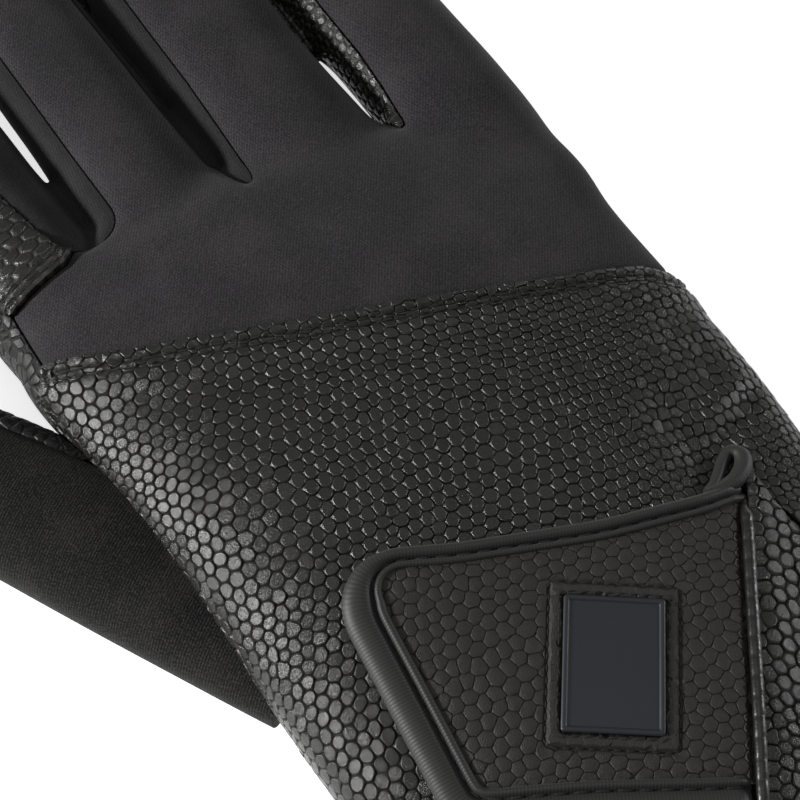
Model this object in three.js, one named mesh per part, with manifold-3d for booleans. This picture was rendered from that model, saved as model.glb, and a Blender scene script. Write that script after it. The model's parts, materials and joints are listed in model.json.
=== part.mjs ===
// A right-hand riding glove, lying palm down, in millimetres.
// +Y runs from the wrist hem to the fingertips, +X to the little finger, +Z up off the surface it lies on.
// The glove is hollow: a hand shell with four fingers, a thumb set into its side, and a closure strap
// that laps over the back of the wrist. The seams cut the shell into its leather and fabric panels.
import * as THREE from "three";
import { mergeVertices } from "three/addons/utils/BufferGeometryUtils.js";
import Module from "manifold-3d";

const wasm = await Module();
wasm.setup();

// Cloth and seams
const wall = 1.3; // thickness of leather and fabric alike
const seamGap = 0.3; // clearance between pieces that are sewn together
const restFlat = 0.9; // how far each round section is pressed flat where it rests

// Hand, from the hem to the web between the fingers
const handLength = 145;
const handHeight = 24.5;
const palmSeamHeight = 5.2; // the seam between the palm and the upper panels
const topTilt = 0.13; // the back is higher on the thumb's side by this share
const webDrop = 8.2; // the web beside the little finger lies this much nearer the wrist

// Fingers, at their roots
const indexWidth = 22.4;
const middleWidth = 22.5;
const ringWidth = 26.4;
const littleWidth = 22.6;
const indexLength = 70;
const middleLength = 79;
const ringLength = 74;
const littleLength = 62;
const indexGap = 1;
const middleGap = 0.7;
const ringGap = 0.8;
const fingerHeight = 17.2;
const seamInset = 4; // how far a finger's top seams lie inside its outline, at a share of 1

// Thumb
const thumbWidth = 33; // at its root, inside the hand
const thumbHeight = 16.5;
const thumbReach = 108; // from its root, inside the hand, to its tip
const thumbAngle = 26; // degrees from the fingers
const thumbSeamHeight = 0.47; // share of its height at which its side seams lie, on its middle line
const thumbSeamSlope = 0.42; // how steeply they rise towards the index finger

// Wrist, strap and badge
const hemWidth = 5;
const hemSwell = 0.7; // how far the hem's tape stands proud of the cuff
const slitWidth = 1.6;
const strapThickness = 1.8;
const strapRound = 8; // radius of the two corners at the strap's end
const bindingWidth = 4.2;
const bindingRise = 2.6;
const weltWidth = 2.4;
const weltRise = 2.4;
const loopThickness = 1.9;
const badgeWidth = 13.8;
const badgeHeight = 19;
const badgeThickness = 1.2;
const badgeTurn = -36; // degrees from the fingers

const knuckleWidth =
  indexWidth + middleWidth + ringWidth + littleWidth + indexGap + middleGap + ringGap;

// The hand's sections. along is a share of handLength, left and right of knuckleWidth,
// height and lift of handHeight.
const handSections = [
  { along: 0, left: -0.425, right: 0.425, height: 0.82, lift: 0 },
  { along: 0.16, left: -0.44, right: 0.448, height: 0.88, lift: 0 },
  { along: 0.33, left: -0.453, right: 0.472, height: 0.93, lift: 0 },
  { along: 0.47, left: -0.457, right: 0.483, height: 0.98, lift: 0 },
  { along: 0.63, left: -0.466, right: 0.463, height: 1, lift: 0 },
  { along: 0.76, left: -0.479, right: 0.479, height: 0.95, lift: 0 },
  { along: 0.88, left: -0.497, right: 0.497, height: 0.85, lift: 0 },
  { along: 0.95, left: -0.475, right: 0.482, height: 0.73, lift: 0.02 },
  { along: 0.985, left: -0.44, right: 0.44, height: 0.57, lift: 0.06 },
  { along: 1.01, left: -0.4, right: 0.4, height: 0.36, lift: 0.14 },
];

// Dents and swells in the back of the hand. x is a share of knuckleWidth, y of handLength,
// reachX and reachY of the same two, and depth of handHeight, with a swell below zero.
const dents = [
  { name: "slit apex", x: 0.335, y: 0.385, reachX: 0.085, reachY: 0.06, depth: 0.085 },
  { name: "fold above the apex", x: 0.4, y: 0.47, reachX: 0.06, reachY: 0.075, depth: 0.05 },
  { name: "little finger side", x: 0.36, y: 0.62, reachX: 0.1, reachY: 0.09, depth: -0.035 },
  { name: "thumb side", x: -0.3, y: 0.5, reachX: 0.14, reachY: 0.2, depth: -0.035 },
  { name: "knuckle hollow", x: 0.02, y: 0.86, reachX: 0.09, reachY: 0.07, depth: 0.03 },
];

// A finger's sections. along is a share of its length past the web, width and height of its own.
const fingerSections = [
  { along: -0.3, width: 0.84, height: 0.9 },
  { along: 0, width: 1, height: 1 },
  { along: 0.22, width: 1, height: 0.985 },
  { along: 0.45, width: 0.985, height: 0.96 },
  { along: 0.66, width: 0.945, height: 0.92 },
  { along: 0.82, width: 0.85, height: 0.85 },
  { along: 0.91, width: 0.72, height: 0.74 },
  { along: 0.97, width: 0.48, height: 0.56 },
  { along: 1, width: 0.2, height: 0.36 },
];

// The thumb's sections. along is a share of thumbReach, width and height of its own,
// and bend a share of thumbWidth that its middle line lies off the straight.
const thumbSections = [
  { along: 0, width: 0.91, height: 0.9, bend: -0.06 },
  { along: 0.16, width: 0.92, height: 0.98, bend: -0.05 },
  { along: 0.31, width: 0.82, height: 1, bend: 0.01 },
  { along: 0.47, width: 0.755, height: 0.98, bend: 0.045 },
  { along: 0.62, width: 0.69, height: 0.95, bend: 0.075 },
  { along: 0.76, width: 0.665, height: 0.93, bend: 0.07 },
  { along: 0.87, width: 0.61, height: 0.86, bend: 0.05 },
  { along: 0.945, width: 0.48, height: 0.72, bend: 0.03 },
  { along: 0.985, width: 0.29, height: 0.54, bend: 0.02 },
  { along: 1, width: 0.12, height: 0.36, bend: 0.015 },
];

// Cubic interpolation of one column of a table, at a share of its first column.
function column(rows, name, along) {
  const last = rows.length - 1;
  let i = 0;
  while (i < last - 1 && along > rows[i + 1].along) i++;
  const slope = (k) => {
    const a = rows[Math.max(k - 1, 0)];
    const b = rows[Math.min(k + 1, last)];
    return (b[name] - a[name]) / (b.along - a.along);
  };
  const step = rows[i + 1].along - rows[i].along;
  const t = THREE.MathUtils.clamp((along - rows[i].along) / step, 0, 1);
  const [p0, p1, m0, m1] = [rows[i][name], rows[i + 1][name], slope(i) * step, slope(i + 1) * step];
  return (
    p0 * (2 * t ** 3 - 3 * t ** 2 + 1) +
    m0 * (t ** 3 - 2 * t ** 2 + t) +
    p1 * (3 * t ** 2 - 2 * t ** 3) +
    m1 * (t ** 3 - t ** 2)
  );
}

const bulge = (turn, power) => Math.sign(turn) * Math.abs(turn) ** (2 / power);

// Closed solid through a list of rings with the same number of points, ended by flat caps.
function loft(rings) {
  const count = rings[0].length;
  const middle = (ring) => ring.reduce((sum, p) => sum.add(p), new THREE.Vector3()).divideScalar(count);
  const points = [...rings.flat(), middle(rings[0]), middle(rings.at(-1))];
  const faces = [];
  for (let r = 0; r < rings.length - 1; r++)
    for (let k = 0; k < count; k++) {
      const [a, b] = [r * count + k, r * count + ((k + 1) % count)];
      faces.push(a, b, b + count, a, b + count, a + count);
    }
  const [start, end] = [points.length - 2, points.length - 1];
  const top = (rings.length - 1) * count;
  for (let k = 0; k < count; k++) {
    const next = (k + 1) % count;
    faces.push(start, next, k, end, top + k, top + next);
  }
  return solid(points, faces);
}

function solid(points, faces) {
  const vertProperties = new Float32Array(points.flatMap((p) => [p.x, p.y, p.z]));
  const made = new wasm.Manifold(
    new wasm.Mesh({ numProp: 3, vertProperties, triVerts: new Uint32Array(faces) }),
  );
  if (made.volume() > 0) return made;
  const turned = faces.map((_, i) => faces[i - (i % 3) + 2 - (i % 3)]);
  return new wasm.Manifold(
    new wasm.Mesh({ numProp: 3, vertProperties, triVerts: new Uint32Array(turned) }),
  );
}

function solidOf(geometry) {
  geometry.deleteAttribute("normal");
  geometry.deleteAttribute("uv");
  const merged = mergeVertices(geometry, 1e-4);
  const at = merged.getAttribute("position");
  const points = Array.from({ length: at.count }, (_, i) => new THREE.Vector3().fromBufferAttribute(at, i));
  return solid(points, Array.from(merged.index.array));
}

// The largest body, without the slivers that a cut can leave.
const mainBody = (made) => made.decompose().reduce((a, b) => (a.volume() > b.volume() ? a : b));

const union = (...solids) => solids.reduce((all, next) => all.add(next));

// An outline with arcs of one radius in place of the corners that are listed.
function rounded(outline, corners, radius) {
  const steps = 5;
  return outline.flatMap((p, i) => {
    if (!corners.includes(i)) return [p];
    const at = new THREE.Vector2(...p);
    const back = new THREE.Vector2(...outline[i - 1]).sub(at).normalize();
    const on = new THREE.Vector2(...outline[i + 1]).sub(at).normalize();
    const half = Math.acos(back.dot(on)) / 2;
    const start = at.clone().addScaledVector(back, radius / Math.tan(half));
    const end = at.clone().addScaledVector(on, radius / Math.tan(half));
    const centre = at.clone().addScaledVector(back.clone().add(on).normalize(), radius / Math.sin(half));
    const sweep = Math.PI - 2 * half;
    const turn = Math.sign(start.clone().sub(centre).cross(end.clone().sub(centre)));
    return Array.from({ length: steps + 1 }, (_, k) => {
      const spoke = start.clone().sub(centre).rotateAround(new THREE.Vector2(), (turn * sweep * k) / steps);
      return [centre.x + spoke.x, centre.y + spoke.y];
    });
  });
}

// Upright prism over a plan outline.
function prism(outline, low = -handHeight, high = 3 * handHeight) {
  const shape = new THREE.Shape(outline.map(([x, y]) => new THREE.Vector2(x, y)));
  const geometry = new THREE.ExtrudeGeometry(shape, { depth: high - low, bevelEnabled: false });
  return solidOf(geometry.translate(0, 0, low));
}

// A plan outline moved outwards by a distance, or inwards where it is below zero.
function grown(outline, distance) {
  const area = THREE.ShapeUtils.area(outline.map(([x, y]) => new THREE.Vector2(x, y)));
  const side = Math.sign(area) * distance;
  return outline.map((p, i) => {
    const before = outline.at(i - 1);
    const after = outline[(i + 1) % outline.length];
    const a = new THREE.Vector2(p[0] - before[0], p[1] - before[1]).normalize();
    const b = new THREE.Vector2(after[0] - p[0], after[1] - p[1]).normalize();
    const miter = new THREE.Vector2(a.y + b.y, -a.x - b.x).divideScalar(Math.max(1 + a.dot(b), 0.35));
    return [p[0] + miter.x * side, p[1] + miter.y * side];
  });
}

// The hand
const handSides = 36;
const handSteps = 18;
const handPower = 2.7;
const handEnd = handSections.at(-1).along;

function handSection(along) {
  const left = column(handSections, "left", along) * knuckleWidth;
  const right = column(handSections, "right", along) * knuckleWidth;
  return {
    middle: (left + right) / 2,
    halfWidth: (right - left) / 2,
    height: column(handSections, "height", along) * handHeight,
    lift: column(handSections, "lift", along) * handHeight,
  };
}

// The knuckle line falls away towards the little finger, more so nearer the fingers.
function webShift(x, along) {
  const across = Math.max(0, x / knuckleWidth + 0.05) / 0.3;
  const near = THREE.MathUtils.smoothstep(along, 0.55, 0.95);
  return -webDrop * Math.min(across, 1.6) * near;
}

function dentDepth(x, y) {
  const drop = (d) => {
    const across = (x / knuckleWidth - d.x) / d.reachX;
    const up = (y / handLength - d.y) / d.reachY;
    return d.depth * handHeight * Math.exp(-(across ** 2) - up ** 2);
  };
  return dents.reduce((sum, d) => sum + drop(d), 0);
}

function handRing(along, grow, floor) {
  const s = handSection(along);
  const ring = [];
  for (let k = 0; k < handSides; k++) {
    const turn = (2 * Math.PI * k) / handSides;
    const across = bulge(Math.cos(turn), handPower);
    const up = bulge(Math.sin(turn), handPower);
    const x = s.middle + across * (s.halfWidth + grow);
    const y = along * handLength + webShift(x, along);
    const lean = up > 0 ? 1 - topTilt * across : 1;
    const press = up > 0 ? dentDepth(x, y) * up : 0;
    const half = (s.height + restFlat) / 2;
    const z = s.lift - restFlat + half + up * (half * lean + grow) - press;
    ring.push(new THREE.Vector3(x, y, Math.max(z, floor)));
  }
  return ring;
}

function handBody(grow, floor, from = 0, to = handEnd) {
  const shares = Array.from({ length: handSteps }, (_, i) => from + ((to - from) * i) / (handSteps - 1));
  return loft(shares.map((share) => handRing(share, grow, floor)));
}

// Fingers. lean is in degrees towards the thumb, and seamLeft and seamRight are shares of seamInset.
const digitSides = 14;
const digitPower = 2.35;

const fingers = [
  { width: indexWidth, length: indexLength, gap: indexGap, lean: 1.7, seamLeft: 1.2, seamRight: 1.9 },
  { width: middleWidth, length: middleLength, gap: middleGap, lean: 0.9, seamLeft: 0.75, seamRight: 1.15 },
  { width: ringWidth, length: ringLength, gap: ringGap, lean: 0.9, seamLeft: 0.95, seamRight: 1.2 },
  { width: littleWidth, length: littleLength, gap: 0, lean: 1.4, seamLeft: 0.6, seamRight: 1 },
];
let edge = -knuckleWidth / 2;
for (const finger of fingers) {
  finger.x = edge + finger.width / 2;
  finger.web = handLength + webShift(finger.x, 1);
  edge += finger.width + finger.gap;
}

// A point of a finger's middle line, and the way across it, at a share of its length.
function fingerFrame(finger, along) {
  const lean = THREE.MathUtils.degToRad(finger.lean);
  const reach = along * finger.length;
  return {
    x: finger.x - Math.sin(lean) * reach,
    y: finger.web + Math.cos(lean) * reach,
    across: [Math.cos(lean), Math.sin(lean)],
    halfWidth: (column(fingerSections, "width", along) * finger.width) / 2,
    height: column(fingerSections, "height", along) * fingerHeight,
  };
}

function digitRing(frame, grow, floor) {
  const ring = [];
  for (let k = 0; k < digitSides; k++) {
    const turn = (2 * Math.PI * (k + 0.5)) / digitSides;
    const across = bulge(Math.cos(turn), digitPower) * Math.max(frame.halfWidth + grow, 0.4);
    const half = (frame.height + restFlat) / 2;
    const up = bulge(Math.sin(turn), digitPower) * Math.max(half + grow, 0.4);
    ring.push(
      new THREE.Vector3(
        frame.x + across * frame.across[0],
        frame.y + across * frame.across[1],
        Math.max(half - restFlat + up, floor),
      ),
    );
  }
  return ring;
}

function fingerBody(finger, grow, floor) {
  const tip = 1 + grow / finger.length;
  return loft(fingerSections.map((row) => digitRing(fingerFrame(finger, row.along * tip), grow, floor)));
}

// A point on a finger's top seam. side is -1 towards the thumb and 1 towards the little finger.
function seamPoint(finger, along, side) {
  const frame = fingerFrame(finger, along);
  const inset = seamInset * (side < 0 ? finger.seamLeft : finger.seamRight);
  const out = side * (frame.halfWidth - inset);
  return [frame.x + out * frame.across[0], frame.y + out * frame.across[1]];
}

// The thumb's middle line runs from inside the palm, out past the hand's side.
const thumbRoot = { x: -0.33 * knuckleWidth, y: 0.455 * handLength };
function thumbFrame(along) {
  const angle = THREE.MathUtils.degToRad(thumbAngle);
  const reach = along * thumbReach;
  const bend = column(thumbSections, "bend", along) * thumbWidth;
  return {
    x: thumbRoot.x - Math.sin(angle) * reach - Math.cos(angle) * bend,
    y: thumbRoot.y + Math.cos(angle) * reach - Math.sin(angle) * bend,
    across: [Math.cos(angle), Math.sin(angle)],
    halfWidth: (column(thumbSections, "width", along) * thumbWidth) / 2,
    height: column(thumbSections, "height", along) * thumbHeight,
  };
}

function thumbBody(grow, floor) {
  const tip = 1 + grow / thumbReach;
  return loft(thumbSections.map((row) => digitRing(thumbFrame(row.along * tip), grow, floor)));
}

// The hollow shell
const past = 0.06; // share of handLength by which a cutting body runs out past the hem
const outside = union(handBody(0, 0), ...fingers.map((finger) => fingerBody(finger, 0, 0)));
const fingerHollows = fingers.map((finger) => fingerBody(finger, -wall, wall));
const handHollow = union(
  handBody(-wall, wall, -past, handEnd - wall / handLength),
  ...fingerHollows,
);
const thumbHollow = thumbBody(-wall, wall);
const wide = knuckleWidth * 3;
const long = handLength * 3;
const halfGap = seamGap / 2;
const strip = (from, to) => [[-wide, from], [wide, from], [wide, to], [-wide, to]];
const everywhere = strip(-long, long);
const beyondHem = prism(strip(hemWidth + seamGap, long));
const shell = outside.subtract(handHollow).subtract(thumbHollow).intersect(beyondHem);

// Plan outlines of the panels
const fourchetteTop = 0.86; // share of a finger's length at which its side strip ends
const seamShares = [0.02, 0.14, 0.28, 0.45, 0.62, 0.76, fourchetteTop];
const crotchDepth = 4.5; // how far the side strip's bend reaches back past the web

function fourchetteOutline(finger, next) {
  const up = seamShares.map((share) => seamPoint(finger, share, 1));
  const down = seamShares.map((share) => seamPoint(next, share, -1)).reverse();
  const between = (a, b) => (a + b) / 2;
  const topX = between(up.at(-1)[0], down[0][0]);
  const [left, right] = [up[0], down.at(-1)];
  const middleX = between(left[0], right[0]);
  const low = Math.min(left[1], right[1]) - crotchDepth;
  const shoulder = (x) => middleX + (x - middleX) * 0.72;
  return [
    ...up,
    [topX, up.at(-1)[1]],
    [topX, down[0][1]],
    ...down,
    [shoulder(right[0]), low + crotchDepth * 0.3],
    [middleX, low],
    [shoulder(left[0]), low + crotchDepth * 0.3],
  ];
}

// The palm's leather wraps up round the thumb's side of the hand and of the index finger.
const [index, middle, ring, little] = fingers;
const wrapFrom = 0.8 * handLength;
const handLeft = (along) => handSection(along).middle - handSection(along).halfWidth;
const indexStart = 0.955 * handLength;
const wrapOutline = [
  [-wide, wrapFrom],
  [handLeft(0.8), wrapFrom],
  [handLeft(0.88) + seamInset * 0.85, 0.88 * handLength],
  ...seamShares.map((share) => seamPoint(index, share, -1)),
  [index.x - index.width, fingerFrame(index, fourchetteTop).y],
  [-wide, fingerFrame(index, fourchetteTop).y],
];
const indexOutline = [
  [-wide, indexStart],
  [seamPoint(index, 0, -1)[0], indexStart],
  [seamPoint(index, 0, 1)[0], indexStart + seamInset * 0.6],
  [index.x + index.width / 2 + indexGap / 2, fingerFrame(index, 0.02).y],
  [index.x + index.width / 2 + indexGap / 2, long],
  [-wide, long],
];

// Plan points from here on are shares of knuckleWidth and handLength.
const onHand = ([x, y]) => [x * knuckleWidth, y * handLength];

// The seam between the fabric back and the leather cuff, from the thumb's side to the far one
const cuffSeam = [
  [-3, 1.9],
  [-0.459, 0.878],
  [-0.326, 0.823],
  [-0.097, 0.751],
  [0.123, 0.688],
  [0.288, 0.643],
  [0.42, 0.614],
  [3, 0.2],
].map(onHand);
const cuffOutline = [...cuffSeam, [wide, -long], [-wide, -long]];

// The strap, from the seam at its root to its round-cornered end, and the panel that it is sewn to.
const strapTop = [[0.36, 0.352], [0.242, 0.363], [0.09, 0.394], [-0.121, 0.453]].map(onHand);
const strapEnd = [[-0.282, 0.507], [-0.332, 0.227]].map(onHand);
const strapFoot = [[-0.185, 0.166], [-0.06, 0.112], [0.1, 0.042]].map(onHand);
const strapCorners = [...strapTop, ...strapEnd, ...strapFoot];
const rootTop = onHand([0.279, 0.33]);
const rootFoot = onHand([0.021, 0.083]);
const rootRun = new THREE.Vector2(rootFoot[0] - rootTop[0], rootFoot[1] - rootTop[1]).normalize();
// A point beside the strap's root seam: along it from the top, and across it towards the little finger.
const besideRoot = (along, across) => [
  rootTop[0] + rootRun.x * along - rootRun.y * across,
  rootTop[1] + rootRun.y * along + rootRun.x * across,
];
const rootLength = Math.hypot(rootFoot[0] - rootTop[0], rootFoot[1] - rootTop[1]);
const leftOfRoot = prism([
  besideRoot(-handLength, -seamGap),
  besideRoot(handLength, -seamGap),
  besideRoot(handLength, -wide),
  besideRoot(-handLength, -wide),
]);

const slitFoot = onHand([-0.04, -0.035]); // past the hem
const apex = onHand([0.3345, 0.378]);
const slitOutline = [
  [apex[0] - slitWidth / 2, apex[1]],
  [apex[0] + slitWidth / 2, apex[1]],
  besideRoot(0, 0),
  besideRoot(rootLength, 0),
  [slitFoot[0] + slitWidth, slitFoot[1]],
  slitFoot,
  besideRoot(rootLength, -slitWidth),
  besideRoot(0, -slitWidth),
];
const sideOutline = [
  [apex[0] + slitWidth / 2 + seamGap, apex[1] - seamGap],
  onHand([0.342, 0.317]),
  onHand([0.356, 0.284]),
  onHand([0.366, 0.2]),
  onHand([0.368, 0.1]),
  onHand([0.362, -0.1]),
  [slitFoot[0] + slitWidth, slitFoot[1] - hemWidth],
  [slitFoot[0] + slitWidth, slitFoot[1]],
  besideRoot(rootLength, 0),
  besideRoot(0, 0),
];

// A sheet that follows the back of the hand between two heights over it.
function layer(low, high, cut) {
  const sheet = handBody(high, 0, -past).subtract(handBody(low, 0, -past * 2));
  return sheet.intersect(cut).intersect(prism(everywhere, 2 * palmSeamHeight));
}

// Cutting the shell into its panels
const palm = shell.intersect(
  union(prism(everywhere, -handHeight, palmSeamHeight - halfGap), prism(grown(wrapOutline, -halfGap))),
);
let upper = shell
  .intersect(prism(everywhere, palmSeamHeight + halfGap))
  .subtract(prism(grown(wrapOutline, halfGap)));

// Takes the panel over an outline off what is left of the upper shell.
function takePanel(outline) {
  const panel = upper.intersect(prism(grown(outline, -halfGap)));
  upper = upper.subtract(prism(grown(outline, halfGap)));
  return panel;
}

const fourchettes = [
  takePanel(fourchetteOutline(index, middle)),
  takePanel(fourchetteOutline(middle, ring)),
  takePanel(fourchetteOutline(ring, little)),
];
const indexBack = takePanel(indexOutline);
const slit = prism(slitOutline, 2 * palmSeamHeight);
upper = upper.subtract(slit);
const sidePanel = takePanel(sideOutline);
const cuff = takePanel(cuffOutline);

// The folded edge of the side panel, which laps over the strap's root
const weltOutline = [
  besideRoot(0, 0),
  besideRoot(rootLength, 0),
  besideRoot(rootLength, weltWidth),
  besideRoot(0, weltWidth),
];
const welt = layer(-wall / 2, weltRise, prism(weltOutline));

// The hem's tape round the wrist, open at the slit
const hem = handBody(hemSwell, 0, -past)
  .subtract(handHollow)
  .intersect(prism(strip(0, hemWidth)))
  .subtract(slit);

// The thumb, trimmed where it is sewn to the hand and split along its side seams
const thumbTube = thumbBody(0, 0).subtract(thumbHollow).subtract(handBody(seamGap, 0)).subtract(handHollow);
// The half above its side seams, for side 1, or below them, for side -1. The seams lie in a plane
// that rises towards the index finger, so that leather shows on that side of the thumb.
function thumbHalf(side) {
  const reach = 1.6 * thumbWidth;
  const ringAt = (share) => {
    const frame = thumbFrame(share);
    const corner = (out, up) =>
      new THREE.Vector3(
        frame.x + frame.across[0] * out * reach,
        frame.y + frame.across[1] * out * reach,
        thumbSeamHeight * thumbHeight + halfGap * side + out * reach * thumbSeamSlope + up,
      );
    const above = side * 4 * thumbHeight;
    return [corner(-1, 0), corner(1, 0), corner(1, above), corner(-1, above)];
  };
  return loft([ringAt(-0.3), ringAt(1.3)]);
}

// The strap, its bound edge and its badge
const endCorners = [strapTop.length, strapTop.length + 1];
const strapInset = (inset) => prism(rounded(grown(strapCorners, -inset), endCorners, strapRound - inset));
const strap = layer(
  seamGap,
  seamGap + strapThickness,
  strapInset(bindingWidth + halfGap).intersect(leftOfRoot),
);
const binding = layer(
  seamGap,
  seamGap + bindingRise,
  strapInset(0).subtract(strapInset(bindingWidth - halfGap)).intersect(leftOfRoot),
);

const badgeMiddle = onHand([-0.03, 0.265]);
const badgeSpin = THREE.MathUtils.degToRad(badgeTurn);
const badgeCorner = (across, up) => {
  const [x, y] = [(across * badgeWidth) / 2, (up * badgeHeight) / 2];
  return [
    badgeMiddle[0] + x * Math.cos(badgeSpin) - y * Math.sin(badgeSpin),
    badgeMiddle[1] + x * Math.sin(badgeSpin) + y * Math.cos(badgeSpin),
  ];
};
const strapFace = 2 * seamGap + strapThickness;
const badge = layer(
  strapFace,
  strapFace + badgeThickness,
  prism([badgeCorner(-1, -1), badgeCorner(1, -1), badgeCorner(1, 1), badgeCorner(-1, 1)]),
);

// The tape's small loop round the top of the slit, lying on the cuff
const besideSlit = layer(0, 2 * bindingRise, prism(grown(strapCorners, seamGap)));
function backHeight(x, y) {
  const along = y / handLength;
  const s = handSection(along);
  const across = THREE.MathUtils.clamp((x - s.middle) / s.halfWidth, -1, 1);
  const up = (1 - Math.abs(across) ** handPower) ** (1 / handPower);
  const half = (s.height + restFlat) / 2;
  return s.lift - restFlat + half + up * half * (1 - topTilt * across) - dentDepth(x, y) * up;
}
const loopPlan = [[-0.3, -0.9], [-0.45, 0], [-0.1, 0.75], [0.6, 1], [1.15, 0.55], [1.2, -0.3], [0.85, -0.95]];
const loopReach = 3.2;
const loopPath = new THREE.CatmullRomCurve3(
  loopPlan.map(([x, y]) => {
    const at = [apex[0] + (x - 0.4) * loopReach, apex[1] + (y + 0.5) * loopReach];
    return new THREE.Vector3(...at, backHeight(...at) + loopThickness / 2);
  }),
);
const loopSection = new THREE.Shape(
  Array.from({ length: 8 }, (_, k) => {
    const turn = (2 * Math.PI * k) / 8;
    return new THREE.Vector2((Math.cos(turn) * loopThickness) / 2, (Math.sin(turn) * loopThickness) / 2);
  }),
);
const loopSteps = 20;
const loop = solidOf(new THREE.ExtrudeGeometry(loopSection, { steps: loopSteps, extrudePath: loopPath }))
  .subtract(handBody(seamGap, 0))
  .subtract(besideSlit);

// Materials
const surface = (colour, roughness) =>
  new THREE.MeshStandardMaterial({ color: colour, roughness, metalness: 0 });
const leather = surface(0x1f1e1c, 0.5);
const mattLeather = surface(0x2b2926, 0.68);
const fabric = surface(0x29272a, 0.9);
const thumbFabric = surface(0x1d1c1c, 0.9);
const tape = surface(0x2a2928, 0.65);
const rubber = surface(0x23262e, 0.6);

const glove = new THREE.Group();
const smallest = 0.03; // detail finer than this is left out of the pieces
function addPiece(name, made, material) {
  const mesh = mainBody(made.simplify(smallest)).getMesh();
  const geometry = new THREE.BufferGeometry();
  geometry.setAttribute("position", new THREE.BufferAttribute(mesh.vertProperties, 3));
  geometry.setIndex(new THREE.BufferAttribute(mesh.triVerts, 1));
  geometry.computeVertexNormals();
  const piece = new THREE.Mesh(geometry, material);
  piece.name = name;
  glove.add(piece);
}

addPiece("palm_panel", palm, leather);
addPiece("back_panel", upper, fabric);
addPiece("index_back", indexBack, leather);
addPiece("fourchette_index_middle", fourchettes[0], fabric);
addPiece("fourchette_middle_ring", fourchettes[1], fabric);
addPiece("fourchette_ring_little", fourchettes[2], leather);
addPiece("cuff_panel", cuff, leather);
addPiece("side_panel", sidePanel.add(welt), leather);
addPiece("wrist_hem", hem, tape);
addPiece("thumb_back", thumbTube.intersect(thumbHalf(1)), thumbFabric);
addPiece("thumb_front", thumbTube.intersect(thumbHalf(-1)), leather);
addPiece("closure_strap", strap, mattLeather);
addPiece("strap_binding", binding, tape);
addPiece("slit_loop", loop, tape);
addPiece("badge", badge, rubber);

// The origin is on the surface that the glove lies on, under the middle of its outline.
const box = new THREE.Box3().setFromObject(glove);
glove.position.set(-(box.min.x + box.max.x) / 2, -(box.min.y + box.max.y) / 2, -box.min.z);

export default glove;
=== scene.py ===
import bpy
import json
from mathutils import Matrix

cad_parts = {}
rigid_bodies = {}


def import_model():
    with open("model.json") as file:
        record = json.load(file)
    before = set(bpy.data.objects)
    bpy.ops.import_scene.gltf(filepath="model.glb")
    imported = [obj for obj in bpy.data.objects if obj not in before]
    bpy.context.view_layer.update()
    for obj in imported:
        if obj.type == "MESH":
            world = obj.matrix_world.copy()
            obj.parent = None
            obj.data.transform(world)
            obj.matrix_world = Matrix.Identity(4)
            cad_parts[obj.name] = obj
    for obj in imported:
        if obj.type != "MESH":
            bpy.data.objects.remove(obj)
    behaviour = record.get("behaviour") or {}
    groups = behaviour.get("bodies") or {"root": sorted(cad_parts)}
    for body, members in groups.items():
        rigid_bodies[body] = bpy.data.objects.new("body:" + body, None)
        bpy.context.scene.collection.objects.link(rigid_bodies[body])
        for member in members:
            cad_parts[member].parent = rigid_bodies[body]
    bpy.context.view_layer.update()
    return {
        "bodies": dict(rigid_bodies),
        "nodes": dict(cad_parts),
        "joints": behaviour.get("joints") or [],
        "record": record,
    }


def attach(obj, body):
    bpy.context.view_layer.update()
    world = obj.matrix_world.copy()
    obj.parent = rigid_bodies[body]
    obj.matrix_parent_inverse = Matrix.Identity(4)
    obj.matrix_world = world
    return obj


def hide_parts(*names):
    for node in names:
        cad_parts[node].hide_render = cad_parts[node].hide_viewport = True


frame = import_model()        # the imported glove, in metres, with x to the little finger and y to the fingertips

import json
import math

import bpy
import numpy as np
from mathutils import Vector, bvhtree, geometry, kdtree

# The hand's own sizes in millimetres, as the frame has them. y is 0 at the hem, z at the table.
glove = {
    "originX": 18.227, "originY": -112.012,
    "handLength": 145.0, "handHeight": 24.5, "palmSeam": 5.2, "restFlat": 0.9,
    "topTilt": 0.13, "webDrop": 8.2, "handPower": 2.7, "digitPower": 2.2,
    "fingerHeight": 17.2, "seamInset": 4.0, "wall": 1.3, "hemWidth": 5.0,
    "fingerSlim": 0.1,   # taken off each side of a finger's root; its own slim is left and right, further out
    "skinVoxel": 0.5, "palmVoxel": 0.9,
}
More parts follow.
